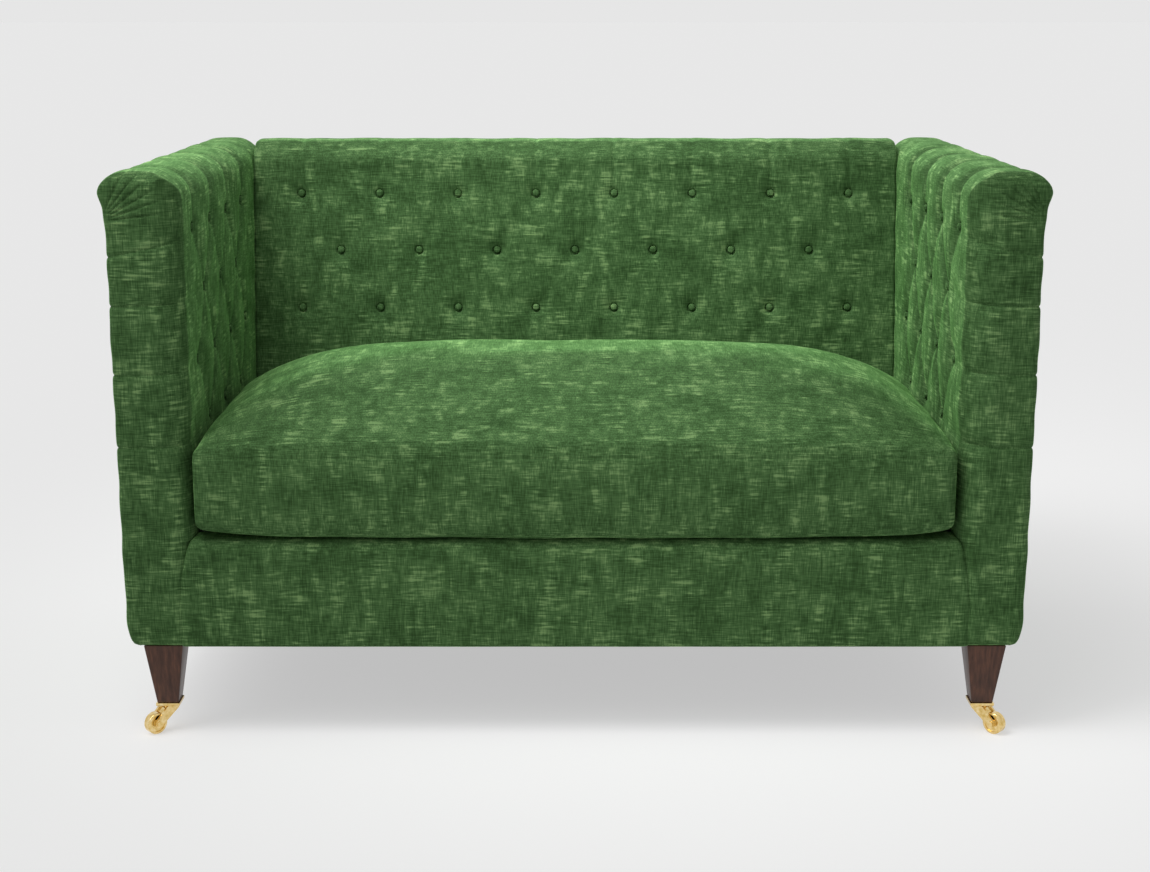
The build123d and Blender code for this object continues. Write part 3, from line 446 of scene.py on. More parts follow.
def button_row(count, middle, z):
    """Places of one row of buttons, spread evenly to both sides of its middle."""
    return [(middle + (k - (count - 1) / 2) * BUTTON_PITCH, z) for k in range(count)]


arm_rows = [button_row(n, ARM_MIDDLE, z) for n, z in zip((4, 3, 4, 3), BUTTON_HEIGHTS)]
ARM_VOXEL = 0.0037
FOOT_TAPER = 0.048  # height over which the outer side turns in to the base
arm = add_block("arm_form", (ARM_IN, FRONT, BASE), (ARM_ROLL, ROLL_BACK, TOP))
bevel_where(arm, ROLL_INNER, 10, lambda v: v.z > TOP - 0.001 and v.x < ARM_IN + 0.001)
bevel_where(arm, ROLL_OUTER, 8, lambda v: v.z > TOP - 0.001 and v.x > ARM_ROLL - 0.001)
bevel_where(arm, 0.010, 4, lambda v: v.z < BASE + 0.001 and v.x > ARM_ROLL - 0.001)
bevel_where(arm, 0.012, 4, lambda v: v.y < FRONT + 0.001)
bevel_where(arm, 0.022, 5, lambda v: v.y > ROLL_BACK - 0.001)
apply_modifier(arm, "REMESH", mode="VOXEL", voxel_size=ARM_VOXEL)
apply_modifier(arm, "SMOOTH", factor=0.5, iterations=3)

# Outer side drawn in under the roll, rear end on the rake, inner side drawn in under the seat.
rows = points_of(arm)
x, y, z = rows.T
band = ramp_between(FRONT + 0.026, FRONT + 0.018, y)
under = 0.8 * ramp_between(0.842, 0.814, z) + 0.2 * ramp_between(0.825, 0.770, z)
inset = (ARM_ROLL - ARM_OUT) * band + (ARM_ROLL - ARM_PANEL + 0.0012) * (1 - band)
foot = 0.009 * np.clip((BASE + FOOT_TAPER - z) / FOOT_TAPER, 0, 1) ** 2.2
x_new = x - (inset * under + foot) * ramp_between(0.640, 0.695, x)
below = ramp_between(0.334, 0.306, z) * ramp_between(0.660, ARM_IN + 0.01, x)
x_new = x_new + (ARM_BORDER - ARM_IN) * below
ARM_REAR = 0.115  # how far the arm goes behind the face of the back
rear = (raked(np.minimum(z, ROLL), ARM_REAR) - ROLL_BACK) * ramp_between(ROLL + 0.006, ROLL - 0.003, z)
y_new = y + rear * ramp_between(0.02, 0.40, y)
crest = -0.005 * ((x - 0.6375) / 0.0605) ** 2 * ramp_between(0.84, 0.87, z)
edge = 0.034 + 0.014 * ramp_between(0.34, 0.50, z)  # rounding of the inner front edge, tighter at the border
face = np.where(z < DECK, ARM_BORDER, ARM_IN)
near, front = round_corner(x_new - face, y_new - FRONT, edge)
x_new = near + face
front, drop = round_corner(front, TOP - z - crest, 0.026)
move_points(arm, np.column_stack([x_new, front + FRONT, TOP - drop]))

# Buttons, folds, pleats over the top, creases round the front and tucks at its outer corner.
refine_where(arm, 1, lambda x, y, z: (x < 0.610) & near_button(y, z, arm_rows))
refine_where(arm, 2, lambda x, y, z: (y < FRONT + 0.032) & (x > 0.606) & (z > 0.780))


def near_crease(x, z):
    """Whether places on the front of an arm lie beside a crease."""
    along = (x - ARM_IN) / (ARM_OUT - ARM_IN)
    return np.min([np.abs(z - a - (b - a) * along) for a, b in ARM_CREASES], axis=0) < 0.008


refine_where(arm, 1, lambda x, y, z: (y < FRONT + 0.032) & near_crease(x, z))
x, y, z = points_of(arm).T
inner = ramp_between(0.632, 0.612, x)
tucks = np.zeros_like(x)
for z_in, z_out in ARM_CREASES:
    line = z_in + (z_out - z_in) * np.clip((x - ARM_IN) / (ARM_OUT - ARM_IN), 0, 1)
    across = CREASE_DEPTH * np.exp(-np.abs(z - line) / CREASE_WIDTH)
    tucks = np.maximum(tucks, across * ramp_between(FRONT + 0.030, FRONT + 0.012, y))
reach = np.hypot(FAN_X - x, z - FAN_Z)
turn = np.arctan2(z - FAN_Z, FAN_X - x)
for angle in (6, 18, 29, 40, 51, 63):
    tuck = TUCK_DEPTH * np.exp(-np.abs((turn - math.radians(angle)) * reach / TUCK_WIDTH) ** 1.4)
    tuck *= ramp_between(0.004, 0.026, reach) * ramp_between(0.112, 0.040, reach)
    tucks = np.maximum(tucks, tuck * ramp_between(FRONT + 0.034, FRONT + 0.010, y))
uneven = 0.0011 * (1 + np.sin(y * 47 + 2.1 * np.sin(z * 31)) * np.sin(z * 39 + 1.3 * np.sin(y * 23)))
for side, sign, fullness in (("left", -1, 0.45), ("right", 1, 0.85)):  # the left arm is stuffed flatter
    bpy.ops.object.select_all(action="DESELECT")
    arm.select_set(True)
    bpy.context.view_layer.objects.active = arm
    bpy.ops.object.duplicate()
    cover = mesh_object(side + "_arm_velvet")
    hollow, fold_ends, fold_middle = 0.0056 * fullness, 0.0095 * fullness, 0.0068 * fullness
    folds = buttoned(y, z, arm_rows, hollow, 0.018, 0.024, fold_ends, fold_middle) * inner
    for place, height in arm_rows[0]:
        pleat = 0.0070 * fullness * np.exp(-np.abs(y - place) / 0.020)
        over = ramp_between(height - 0.004, height + 0.020, z) * (1 - 0.80 * ramp_between(0.605, 0.690, x))
        folds = np.maximum(folds, pleat * over)
    for row, (z_in, _) in zip(arm_rows, ARM_CREASES):
        end = fold_depth(y, z, min(row), (FRONT, z_in), 0.020, 0.0070 * fullness, 0.0045 * fullness) * inner
        folds = np.maximum(folds, end)
    push_in(cover, folds + tucks + uneven)
    if sign < 0:
        move_points(cover, points_of(cover) * (-1, 1, 1))
        cover.data.flip_normals()
    smooth_all(cover)
    finish_piece(cover, velvet, "sofa", [side + "_inside_arm_cover"])
bpy.data.objects.remove(arm)

# Inside back cover: velvet over foam on webbing, leaning back and rolled over the top rail.
# Buttoned in the same diamonds, with a pleat from each button of the top row over the top.
BACK_HALF, ROLL_DEPTH = 0.5825, 0.1315  # half the width between the arms, and the thickness at the roll
back_rows = [button_row(n, 0.0, z) for n, z in zip((8, 7, 8, 7), BUTTON_HEIGHTS)]
back = add_block("back_velvet", (-BACK_HALF, 0.0, DECK), (BACK_HALF, ROLL_DEPTH, TOP))
bevel_where(back, ROLL_INNER, 10, lambda v: v.z > TOP - 0.001 and v.y < 0.001)
bevel_where(back, ROLL_OUTER, 8, lambda v: v.z > TOP - 0.001 and v.y > ROLL_DEPTH - 0.001)
bevel_where(back, 0.005, 3, lambda v: abs(v.x) > BACK_HALF - 0.001)
apply_modifier(back, "REMESH", mode="VOXEL", voxel_size=0.0040)
apply_modifier(back, "SMOOTH", factor=0.5, iterations=3)
refine_where(back, 2, lambda x, behind, z: (behind < 0.03) & near_button(x, z, back_rows))
rows = points_of(back)
x, behind, z = rows.T
drawn = behind - 0.0165 * ramp_between(ROLL + 0.006, ROLL - 0.003, z) * ramp_between(0.06, 0.125, behind)
crest = -0.005 * ((behind - 0.070) / 0.065) ** 2 * ramp_between(0.84, 0.87, z)
move_points(back, np.column_stack([x, raked(np.minimum(z, 0.822), drawn), z + crest]))
inner = ramp_between(0.060, 0.035, behind)
depth = buttoned(x, z, back_rows, 0.0072, 0.0130, 0.012, 0.0022, 0.0009) * inner
for place, height in back_rows[0]:
    pleat = 0.0036 * np.exp(-(np.abs(x - place) / 0.0050) ** 1.2)
    fading = 1 - 0.85 * ramp_between(0.030, 0.105, behind)
    over = ramp_between(height - 0.004, height + 0.020, z) * fading
    depth = np.maximum(depth, pleat * over)
depth = depth + 0.0009 * (1 + np.sin(x * 43 + 2.1 * np.sin(z * 31)) * np.sin(z * 37 + 1.3 * np.sin(x * 29)))
push_in(back, depth)
smooth_all(back)
finish_piece(back, velvet, "sofa", ["inside_back_cover"])

# Covered buttons: tin shells under a disc of the same velvet, fourteen to an arm and thirty to the back.
# Each is tied through the padding with twine, so it sits in its hollow as a low dome.
BUTTON_SEAT = 0.011  # how far a button is drawn in
FLAT_SEAT, BACK_SEAT = 0.0092, 0.0120  # less in the flatter left arm, more in the back
bpy.ops.object.select_all(action="DESELECT")
bpy.ops.mesh.primitive_cylinder_add(vertices=28, radius=BUTTON_RADIUS, depth=BUTTON_HEIGHT,
                                    location=(0, 0, BUTTON_HEIGHT / 2))
button = mesh_object("covered_button")
bevel_where(button, 0.0016, 3, lambda v: v.z > BUTTON_HEIGHT - 0.0001)
bpy.ops.object.mode_set(mode="EDIT")
bpy.ops.mesh.select_mode(type="FACE")
bpy.ops.mesh.select_all(action="DESELECT")
bpy.ops.object.mode_set(mode="OBJECT")
for face in button.data.polygons:
    face.select = face.normal.z > 0.9 and len(face.vertices) > 8
bpy.ops.object.mode_set(mode="EDIT")
bpy.ops.mesh.inset(thickness=0.0016, depth=0.0005)
bpy.ops.mesh.inset(thickness=0.0016, depth=0.0003)
bpy.ops.object.mode_set(mode="OBJECT")
for name, places, axis in (
    ("left_arm_buttons", [(-ARM_IN - FLAT_SEAT, u, v) for row in arm_rows for u, v in row], (1, 0, 0)),
    ("right_arm_buttons", [(ARM_IN + BUTTON_SEAT, u, v) for row in arm_rows for u, v in row], (-1, 0, 0)),
    ("back_buttons", [(u, raked(v, BACK_SEAT), v) for row in back_rows for u, v in row], (0, -1, SLOPE)),
):
    turn = Vector(axis).to_track_quat("Z", "Y").to_matrix().to_4x4()
    copies = []
    for place in places:
        copy = bpy.data.objects.new(name + "_one", button.data.copy())
        bpy.context.collection.objects.link(copy)
        copy.data.transform(Matrix.Translation(place) @ turn)
        copies.append(copy)
    bpy.ops.object.select_all(action="DESELECT")
    for copy in copies:
        copy.select_set(True)
    bpy.context.view_layer.objects.active = copies[0]
    bpy.ops.object.join()
    set_of_buttons = mesh_object(name + "_velvet")
    smooth_all(set_of_buttons, 50)
    finish_piece(set_of_buttons, velvet, "sofa", [name])
bpy.data.objects.remove(button)

# Front border: the panel of velvet across the front under the cushion, pulled over the front rail.
# Thinly padded, tacked under the base, its upper ends rounded where they tuck in beside the arms.
BORDER_HALF, BORDER_BACK = 0.6035, -0.331061
border = add_block("front_border_velvet", (-BORDER_HALF, FRONT, BASE), (BORDER_HALF, BORDER_BACK, DECK))
bevel_where(border, 0.014, 5, lambda v: v.z > DECK - 0.001 and abs(v.x) > 0.6)
bevel_where(border, 0.005, 3, lambda v: v.y < FRONT + 0.001)
apply_modifier(border, "REMESH", mode="VOXEL", voxel_size=0.0042)
apply_modifier(border, "SMOOTH", factor=0.5, iterations=3)
rows = points_of(border)
x, y, z = rows.T
swell = (1 - (x / BORDER_HALF) ** 6) * (1 - ((z - 0.225) / 0.09) ** 4)
uneven = 0.0006 * np.sin(x * 37 + 2 * np.sin(x * 9)) * np.sin(z * 41)
pull = 0.0035 - 0.0030 * np.clip(swell, 0, 1) - uneven
y_new = y + pull * ramp_between(-0.350, FRONT + 0.004, y)
rise = 0.0042 * ramp_between(0.298, DECK, z)
waist = 1 - 0.022 * ramp_between(0.245, DECK, z) + 0.006 * ramp_between(0.25, 0.20, z)
move_points(border, np.column_stack([x * waist, y_new, z + rise]))
smooth_all(border)
finish_piece(border, velvet, "sofa", ["front_border"])

# Platform: the deck under the cushion, a thin layer of felt under lining cloth over the hessian.
# Stitched to the border in front and tucked down at the sides and the back.
lining, tree, shader = begin_material("cotton_lining", Roughness=0.92, Sheen_Weight=0.15)
LINING_THREAD = 0.0012  # drawn coarser than the real 0.4 mm
place = add_node(tree, "ShaderNodeTexCoord").outputs["Object"]
crossed = []
for stretch in ((0.02, LINING_THREAD, 0.02), (LINING_THREAD, 0.02, 0.02)):
    sized = add_node(tree, "ShaderNodeMapping", {"Scale": [1 / s for s in stretch]}, {"Vector": place})
    noise = add_node(tree, "ShaderNodeTexNoise", {"Scale": 1.0, "Detail": 1.0}, {"Vector": sized.outputs[0]})
    crossed.append(noise.outputs[0])
weave = add_node(tree, "ShaderNodeMath", {"operation": "MULTIPLY"}, {0: crossed[0], 1: crossed[1]})
tone = add_node(tree, "ShaderNodeValToRGB", {"stops": [(0.15, "#24301F"), (0.35, "#35452E")]},
                {"Fac": weave.outputs[0]})
tree.links.new(tone.outputs[0], shader.inputs["Base Color"])
relief = add_node(tree, "ShaderNodeBump", {"Strength": 0.3, "Distance": 0.0005}, {"Height": weave.outputs[0]})
tree.links.new(relief.outputs[0], shader.inputs["Normal"])
low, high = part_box("platform_pad")
platform = add_block("platform_lining", low, high)
bevel_where(platform, 0.005, 3, lambda v: v.z > high[2] - 0.001)
apply_modifier(platform, "REMESH", mode="VOXEL", voxel_size=0.006)
apply_modifier(platform, "SMOOTH", factor=0.5, iterations=3)
rows = points_of(platform)
x, y, z = rows.T
uneven = 0.0014 * (1 + np.sin(x * 17 + np.sin(y * 13)) * np.sin(y * 19))
rows[:, 2] = z - uneven * ramp_between(0.298, 0.310, z)
move_points(platform, rows)
smooth_all(platform)
finish_piece(platform, lining, "sofa", ["platform_pad"])

# Outside panels: velvet stretched over board on the outside of each arm and across the back.
# Closed with a blind seam under the roll and down the rear edges, tacked under the base.
PANEL_TUCK = 0.004  # height of the panels' upper edge that is hidden under the roll
HEM = 0.009  # rounding where an arm panel turns in under the eased post
PANEL_NEAR, PANEL_FAR, PANEL_DEPTH = 0.116, 0.122, 0.006  # the back panel, behind the face of the back
for side, sign in (("left", -1), ("right", 1)):
    node = side + "_outside_arm_panel"
    low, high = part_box(node)
    bpy.ops.object.select_all(action="DESELECT")
    bpy.ops.mesh.primitive_grid_add(x_subdivisions=64, y_subdivisions=90, size=1)
    panel = mesh_object(node + "_velvet")
    along, up = points_of(panel).T[:2] + 0.5
    z = low[2] + (high[2] + PANEL_TUCK - low[2]) * up ** 1.4
    near = low[1] - 0.006  # the front edge lies under the cover of the arm
    far = raked(z, PANEL_NEAR)
    y = near + (far - near) * along
    edge = np.minimum(high[2] + PANEL_TUCK - z, np.minimum(y - near, far - y))
    taper = np.clip((low[2] + FOOT_TAPER - z) / FOOT_TAPER, 0, 1) ** 2.2
    eased = ramp_between(-0.308, -0.345, y)
    fall = np.clip(HEM - (z - low[2]), 0, HEM)
    turned_in = (0.005 + 0.004 * eased) * taper + (HEM - np.sqrt(HEM * HEM - fall * fall)) * eased
    bulge = 0.0016 * ramp_between(0.0, 0.12, edge) - 0.0026 * ramp_between(0.008, 0.0, edge)
    outer = np.maximum(ARM_OUT - turned_in + bulge, np.where(eased > 0, 0, ARM_PANEL + 0.0007))
    move_points(panel, np.column_stack([sign * outer, y, z]))
    if panel.data.polygons[len(panel.data.polygons) // 2].normal.x * sign < 0:
        panel.data.flip_normals()
    apply_modifier(panel, "SOLIDIFY", thickness=0.010, offset=-1.0)
    smooth_all(panel, 60)
    finish_piece(panel, velvet, "sofa", [node])
low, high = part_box("outside_back_panel")
panel = add_block("outside_back_panel_velvet", (low[0], PANEL_NEAR, low[2]),
                  (high[0], PANEL_FAR, high[2] + PANEL_TUCK))
bpy.ops.object.mode_set(mode="EDIT")
bpy.ops.mesh.select_all(action="SELECT")
bpy.ops.mesh.subdivide(number_cuts=60)
bpy.ops.object.mode_set(mode="OBJECT")
rows = points_of(panel)
x, behind, z = rows.T
edge = np.minimum(np.minimum(z - low[2], high[2] + PANEL_TUCK - z), high[0] - np.abs(x))
bulge = 0.0016 * ramp_between(0.0, 0.12, edge) - 0.0022 * ramp_between(0.006, 0.0, edge)
turned_in = 0.005 * np.clip((low[2] + FOOT_TAPER - z) / FOOT_TAPER, 0, 1) ** 2.2
x_new = x * (1 - (0.0022 + turned_in) / high[0])
y_new = raked(z, behind + bulge * (behind - PANEL_NEAR) / PANEL_DEPTH)
move_points(panel, np.column_stack([x_new, y_new, z]))
smooth_all(panel, 60)
finish_piece(panel, velvet, "sofa", ["outside_back_panel"])

# Dust cover: black non-woven cloth stapled across the underside, so that dust and fibres stay in.
# Thin spun fibres, matt, sagging a little between the rails.
fibre, tree, shader = begin_material("black_spunbond_cloth", Roughness=0.95)
place = add_node(tree, "ShaderNodeTexCoord").outputs["Object"]
spun = add_node(tree, "ShaderNodeTexNoise", {"Scale": 1 / 0.003, "Detail": 4.0}, {"Vector": place})
tone = add_node(tree, "ShaderNodeValToRGB", {"stops": [(0.35, "#0E0E0F"), (0.65, "#242426")]},
                {"Fac": spun.outputs[0]})
tree.links.new(tone.outputs[0], shader.inputs["Base Color"])
low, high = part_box("dust_cover")
bpy.ops.object.select_all(action="DESELECT")
DUST_TRIM = 0.002  # how much smaller than the seat frame the cloth is cut
cut = (high[0] - low[0] - DUST_TRIM, high[1] - low[1] - DUST_TRIM)
bpy.ops.mesh.primitive_grid_add(x_subdivisions=60, y_subdivisions=32, size=1,
                                location=(0, (low[1] + high[1]) / 2, high[2] - 0.0003))
bpy.context.active_object.scale = (cut[0], cut[1], 1)
dust = mesh_object("dust_cloth")
rows = points_of(dust)
x, y, z = rows.T
edge = np.minimum(high[0] - np.abs(x), np.minimum(y - low[1], high[1] - y))
sag = 0.0035 * ramp_between(0.01, 0.16, edge)
uneven = 0.0004 * np.sin(x * 60) * np.sin(y * 47) * (edge > 0.01)
rows[:, 2] = z - sag - uneven
CORNER_TUCK = 0.012  # the front corners are folded in, inside the eased feet of the arms
tucked = high[0] - CORNER_TUCK * ramp_between(low[1] + 0.060, low[1] + 0.030, y)
rows[:, 0] = np.clip(x, -tucked, tucked)
move_points(dust, rows)
apply_modifier(dust, "SOLIDIFY", thickness=0.0008, offset=-1.0)
smooth_all(dust, 60)
finish_piece(dust, fibre, "sofa", ["dust_cover"])

# Seat cushion: one loose box cushion, velvet over a foam core wrapped in fibre.
# Crowned in the middle, sewn to a border with a plain seam top and bottom, sides drawn in between corners.
SEAM, CUSHION_LOW, CUSHION_HALF = 0.4524, 0.3124, 0.5775  # top edge, underside and half the width
CUSHION_FRONT, CUSHION_BACK = -0.402061, 0.1935
CROWN = 0.1095  # rise of the middle over the top edge, before it is blown up
TOP_SEAM, LOW_SEAM = 0.4450, 0.3200  # the stitched lines on the front border
cushion = add_block("seat_cushion_velvet", (-CUSHION_HALF, CUSHION_FRONT, CUSHION_LOW),
                    (CUSHION_HALF, CUSHION_BACK, SEAM))
bevel_where(cushion, 0.012, 4, lambda v: abs(v.x) > CUSHION_HALF - 0.001)
bevel_where(cushion, 0.008, 4, lambda v: v.z > SEAM - 0.001 or v.z < CUSHION_LOW + 0.001)
apply_modifier(cushion, "REMESH", mode="VOXEL", voxel_size=0.0060)
apply_modifier(cushion, "SMOOTH", factor=0.5, iterations=2)
ZIP_HALF, ZIP_HEIGHT = 0.440, 0.3924  # half the length of the zip and the height it lies at
rows = points_of(cushion)
x, y, z = rows.T
t = np.clip((y - CUSHION_FRONT) / (CUSHION_BACK - CUSHION_FRONT), 0, 1)
rise = 0.10 + 0.90 * (1 - np.abs(2 * t - 1) ** 2.4)
half = CUSHION_HALF - 0.005 * (1 - np.abs(2 * t - 1) ** 2)
inside = np.clip(CUSHION_HALF - np.abs(x), 0, None)
dome = 0.16 + 0.84 * (1 - (1 - np.clip(inside / CUSHION_HALF, 0, 1)) ** 5.15)
upper = ramp_between(SEAM - 0.030, SEAM - 0.002, z)
corner = ((np.abs(x) / CUSHION_HALF) ** 8) * ramp_between(0.5, 0.0, np.minimum(t, 1 - t))
z_new = z + CROWN * rise * dome * upper
z_new = z_new + 0.014 * corner * ramp_between(SEAM, CUSHION_LOW, z) + 0.004 * corner * upper
z_new = z_new + 0.0048 * ramp_between(0.20, 0.04, t) * ramp_between(0.38, 0.33, z)
x_new = x * half / CUSHION_HALF
middle = 1 - ((z - 0.382) / 0.07) ** 2
inward = np.where(t < 0.5, 1, -1) * ramp_between(0.02, 0.0, np.minimum(t, 1 - t))
y_new = y + 0.004 * np.clip(1 - middle, 0, 1) * inward
move_points(cushion, np.column_stack([x_new, y_new, z_new]))

# The cover is then blown up as slack cloth with its underside and top seam held, by a few millimetres.
SWELL = 0.006  # the most that a point may move
rows = points_of(cushion)
rim = np.minimum(inside, np.minimum(y - CUSHION_FRONT, CUSHION_BACK - y))
sewn = (z < CUSHION_LOW + 0.012) | ((z > SEAM - 0.011) & (rim < 0.011))
held = cushion.vertex_groups.new(name="held")
held.add([int(n) for n in np.flatnonzero(sewn)], 1.0, "REPLACE")
blown = cushion.modifiers.new("blown", "CLOTH")
blown.settings.vertex_group_mass = "held"
blown.settings.use_pressure = True
blown.settings.uniform_pressure_force = 4.0
blown.settings.effector_weights.gravity = 0.0
blown.settings.quality = 4
blown.settings.tension_stiffness = 2.0
blown.settings.compression_stiffness = 2.0
blown.settings.shear_stiffness = 1.0
for step in range(1, 21):
    bpy.context.scene.frame_set(step)
swollen = points_of(cushion.evaluated_get(bpy.context.evaluated_depsgraph_get()))
cushion.modifiers.remove(blown)
cushion.vertex_groups.remove(held)
bpy.context.scene.frame_set(1)
shift = swollen - rows
shift *= np.minimum(1, SWELL / np.maximum(np.linalg.norm(shift, axis=1), 1e-9))[:, None]
rows += shift
rows[:, 0] = np.clip(rows[:, 0], -CUSHION_HALF, CUSHION_HALF)
move_points(cushion, rows)
apply_modifier(cushion, "SUBSURF", levels=1, render_levels=1)


def near_seam(z):
    """Whether heights lie beside a stitched line of the front border."""
    return np.minimum(np.abs(z - TOP_SEAM), np.abs(z - LOW_SEAM)) < 0.006


refine_where(cushion, 1, lambda x, y, z: (y < CUSHION_FRONT + 0.02) & near_seam(z))
refine_where(cushion, 1, lambda x, y, z: (y > CUSHION_BACK - 0.02) & (np.abs(z - ZIP_HEIGHT) < 0.014))
x, y, z = points_of(cushion).T
t = np.clip((y - CUSHION_FRONT) / (CUSHION_BACK - CUSHION_FRONT), 0, 1)
depth = 0.0012 * (1 + np.sin(x * 21 + 1.7 * np.sin(y * 17)) * np.sin(y * 25 + 1.1 * np.sin(x * 13)))
ZIP_SLIT = 0.0035  # depth of the slit that the zip lies in
slit = ramp_between(0.011, 0.006, np.abs(z - ZIP_HEIGHT)) * ramp_between(0.93, 0.98, t)
slit = slit * ramp_between(ZIP_HALF + 0.008, ZIP_HALF, np.abs(x))
depth = depth * (1 - slit) + ZIP_SLIT * slit
for seam, deep in ((TOP_SEAM, 0.0008), (LOW_SEAM, 0.0024)):
    depth = depth + deep * np.exp(-(np.abs(z - seam) / 0.0018) ** 1.5) * ramp_between(0.03, 0.01, t)
push_in(cushion, depth)
smooth_all(cushion)
finish_piece(cushion, velvet, "cushion", ["seat_cushion_cover"])

# Zip: a nylon coil zip let into the rear border of the cushion, so that the core can be taken out.
# A row of coil teeth on a woven tape, with a pressed slider and its pull at one end.
coil, tree, shader = begin_material("nylon_zip", Roughness=0.5)
place = add_node(tree, "ShaderNodeTexCoord").outputs["Object"]
dyed = add_node(tree, "ShaderNodeTexNoise", {"Scale": 1 / 0.002, "Detail": 2.0}, {"Vector": place})
tone = add_node(tree, "ShaderNodeValToRGB", {"stops": [(0.35, "#1F3A1B"), (0.65, "#33572B")]},
                {"Fac": dyed.outputs[0]})
tree.links.new(tone.outputs[0], shader.inputs["Base Color"])
TAPE_FACE = CUSHION_BACK - 0.0022  # depth of the tape's outer face
TAPE_HALF = 0.0075  # half the height of the tape
COIL_PITCH, COIL_END = 0.0025, 0.003  # spacing of the teeth, and the bare tape at each end
tape = add_block("zip_tape", (-ZIP_HALF, TAPE_FACE - 0.003, ZIP_HEIGHT - TAPE_HALF),
                 (ZIP_HALF, TAPE_FACE, ZIP_HEIGHT + TAPE_HALF))
slider = add_block("zip_slider", (ZIP_HALF - 0.024, TAPE_FACE, ZIP_HEIGHT - 0.0042),
                   (ZIP_HALF - 0.012, TAPE_FACE + 0.0032, ZIP_HEIGHT + 0.0042))
bevel_where(slider, 0.0012, 3, lambda v: True)
pull = add_block("zip_pull", (ZIP_HALF - 0.020, TAPE_FACE + 0.0028, ZIP_HEIGHT - 0.020),
                 (ZIP_HALF - 0.016, TAPE_FACE + 0.0042, ZIP_HEIGHT + 0.002))
bevel_where(pull, 0.0006, 2, lambda v: True)
bpy.ops.object.select_all(action="DESELECT")
bpy.ops.mesh.primitive_uv_sphere_add(segments=10, ring_count=6, radius=1, scale=(0.0010, 0.0012, 0.0026),
                                     location=(-ZIP_HALF + COIL_END, TAPE_FACE, ZIP_HEIGHT))
teeth = mesh_object("zip_teeth")
apply_modifier(teeth, "ARRAY", count=int((2 * ZIP_HALF - 2 * COIL_END) / COIL_PITCH),
               use_relative_offset=False, use_constant_offset=True,
               constant_offset_displace=(COIL_PITCH, 0, 0))
bpy.ops.object.select_all(action="DESELECT")
for piece in (tape, slider, pull, teeth):
    piece.select_set(True)
bpy.context.view_layer.objects.active = tape
bpy.ops.object.join()
zip_piece = mesh_object("seat_cushion_zip_coil")
smooth_all(zip_piece, 40)
finish_piece(zip_piece, coil, "cushion", ["seat_cushion_zip"])

# Studio: a pale seamless floor that runs into an even surround, with a wide soft sun from the upper left
# and a smaller lamp above the seat.
# The floor shows the surround's own grey to the camera and keeps the shadow.
def straight_rays(tree):
    """1 for what the camera sees, also in reflections and through glass, and 0 for light on things."""
    path = add_node(tree, "ShaderNodeLightPath")
    seen = add_node(tree, "ShaderNodeMath", {"operation": "MAXIMUM"},
                    {0: path.outputs["Is Camera Ray"], 1: path.outputs["Is Glossy Ray"]})
    return add_node(tree, "ShaderNodeMath", {"operation": "MAXIMUM"},
                    {0: seen.outputs[0], 1: path.outputs["Is Transmission Ray"]})


SURROUND = "#E6E6E6"
FLOOR_GLOW = 0.50  # share of even white in what the camera sees of the floor
bpy.ops.object.select_all(action="DESELECT")
bpy.ops.mesh.primitive_plane_add(size=400, location=(0, 0, 0))
floor = mesh_object("studio_floor")
paper = bpy.data.materials.new("seamless_paper")
paper.use_nodes = True
tree = paper.node_tree
tree.nodes.clear()
matt = add_node(tree, "ShaderNodeBsdfDiffuse", {"Color": hexed("#FCFCFC")})
pale = add_node(tree, "ShaderNodeEmission", {"Color": hexed("#FFFFFF"), "Strength": 1.0})
seen = straight_rays(tree)
share = add_node(tree, "ShaderNodeMath", {"operation": "MULTIPLY", 1: FLOOR_GLOW}, {0: seen.outputs[0]})
mixed = add_node(tree, "ShaderNodeMixShader",
                 links={0: share.outputs[0], 1: matt.outputs[0], 2: pale.outputs[0]})
add_node(tree, "ShaderNodeOutputMaterial", links={"Surface": mixed.outputs[0]})
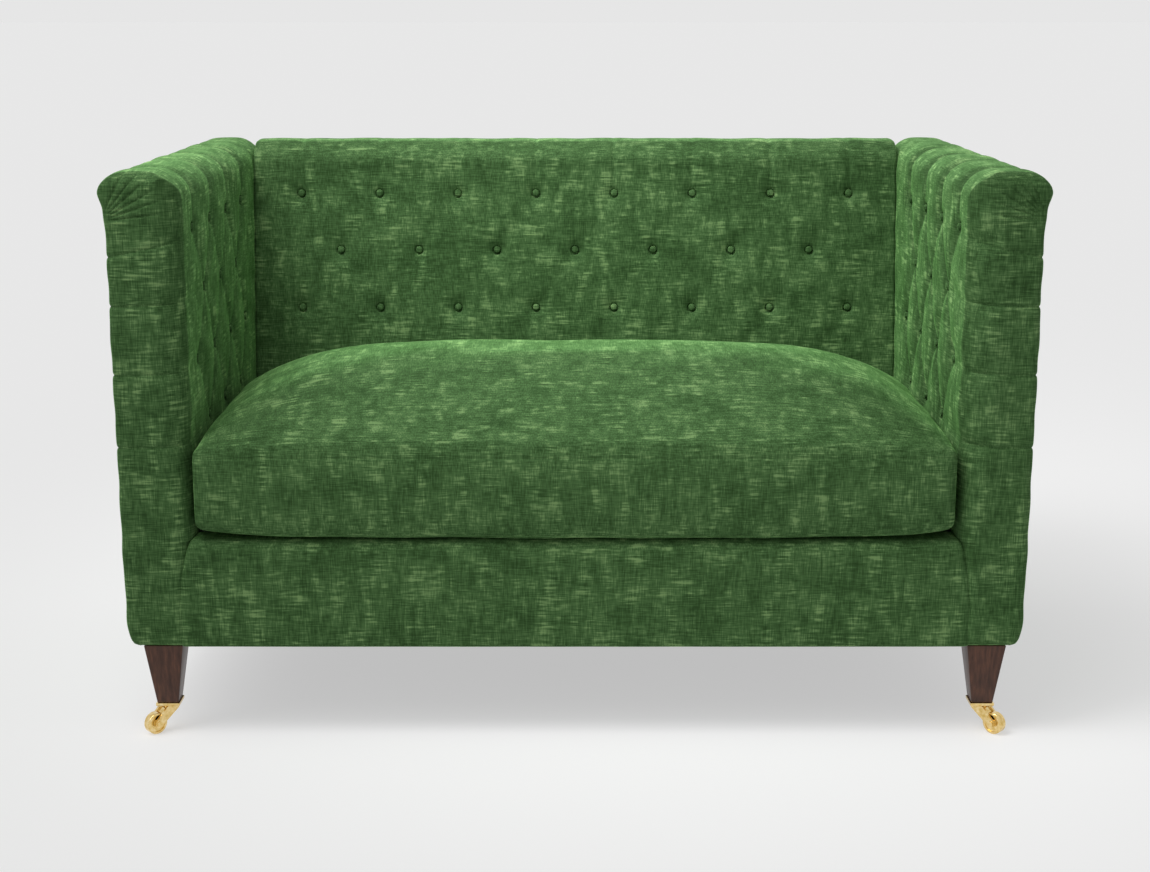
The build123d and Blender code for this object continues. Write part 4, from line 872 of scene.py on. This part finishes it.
floor.data.materials.append(paper)

KEY_FROM = Vector((-0.60, -0.26, 0.88))  # direction that the sun comes from
lamp = bpy.data.lights.new("key_lamp", "SUN")
lamp.angle, lamp.energy = math.radians(50), 0.98
holder = bpy.data.objects.new("key_lamp", lamp)
bpy.context.collection.objects.link(holder)
holder.location = KEY_FROM * 4
holder.rotation_euler = KEY_FROM.to_track_quat("Z", "Y").to_euler()
SEAT_LAMP_AT, SEAT_LAMP_AIM = Vector((-0.55, -0.62, 2.08)), Vector((0.10, 0.20, 0.55))
lamp = bpy.data.lights.new("seat_lamp", "AREA")
lamp.size, lamp.energy, lamp.spread = 1.1, 6.0, math.radians(70)
holder = bpy.data.objects.new("seat_lamp", lamp)
bpy.context.collection.objects.link(holder)
holder.location = SEAT_LAMP_AT
holder.rotation_euler = (SEAT_LAMP_AT - SEAT_LAMP_AIM).to_track_quat("Z", "Y").to_euler()

world = bpy.data.worlds.new("pale_surround")
bpy.context.scene.world = world
world.use_nodes = True
tree = world.node_tree
tree.nodes.clear()
seen = straight_rays(tree)
soft = add_node(tree, "ShaderNodeBackground", {"Color": hexed("#FFFFFF"), "Strength": 0.37})
bright = add_node(tree, "ShaderNodeBackground", {"Color": hexed(SURROUND), "Strength": 1.0})
mixed = add_node(tree, "ShaderNodeMixShader",
                 links={0: seen.outputs[0], 1: soft.outputs[0], 2: bright.outputs[0]})
add_node(tree, "ShaderNodeOutputWorld", links={"Surface": mixed.outputs[0]})

# Camera: straight in front of the sofa at chest height, tilted down a little.
# Its place and lens are fitted to the photograph.
CAMERA_TILT = 12.83  # degrees below level
lens = bpy.data.cameras.new("photo_camera")
lens.sensor_width, lens.lens, lens.sensor_fit = 36, 58.32, "HORIZONTAL"
camera = bpy.data.objects.new("photo_camera", lens)
bpy.context.collection.objects.link(camera)
camera.location = (0, -3.113, 1.098)
camera.rotation_euler = (math.radians(90 - CAMERA_TILT), 0, 0)
bpy.context.scene.camera = camera
bpy.context.scene.view_settings.view_transform = "Standard"
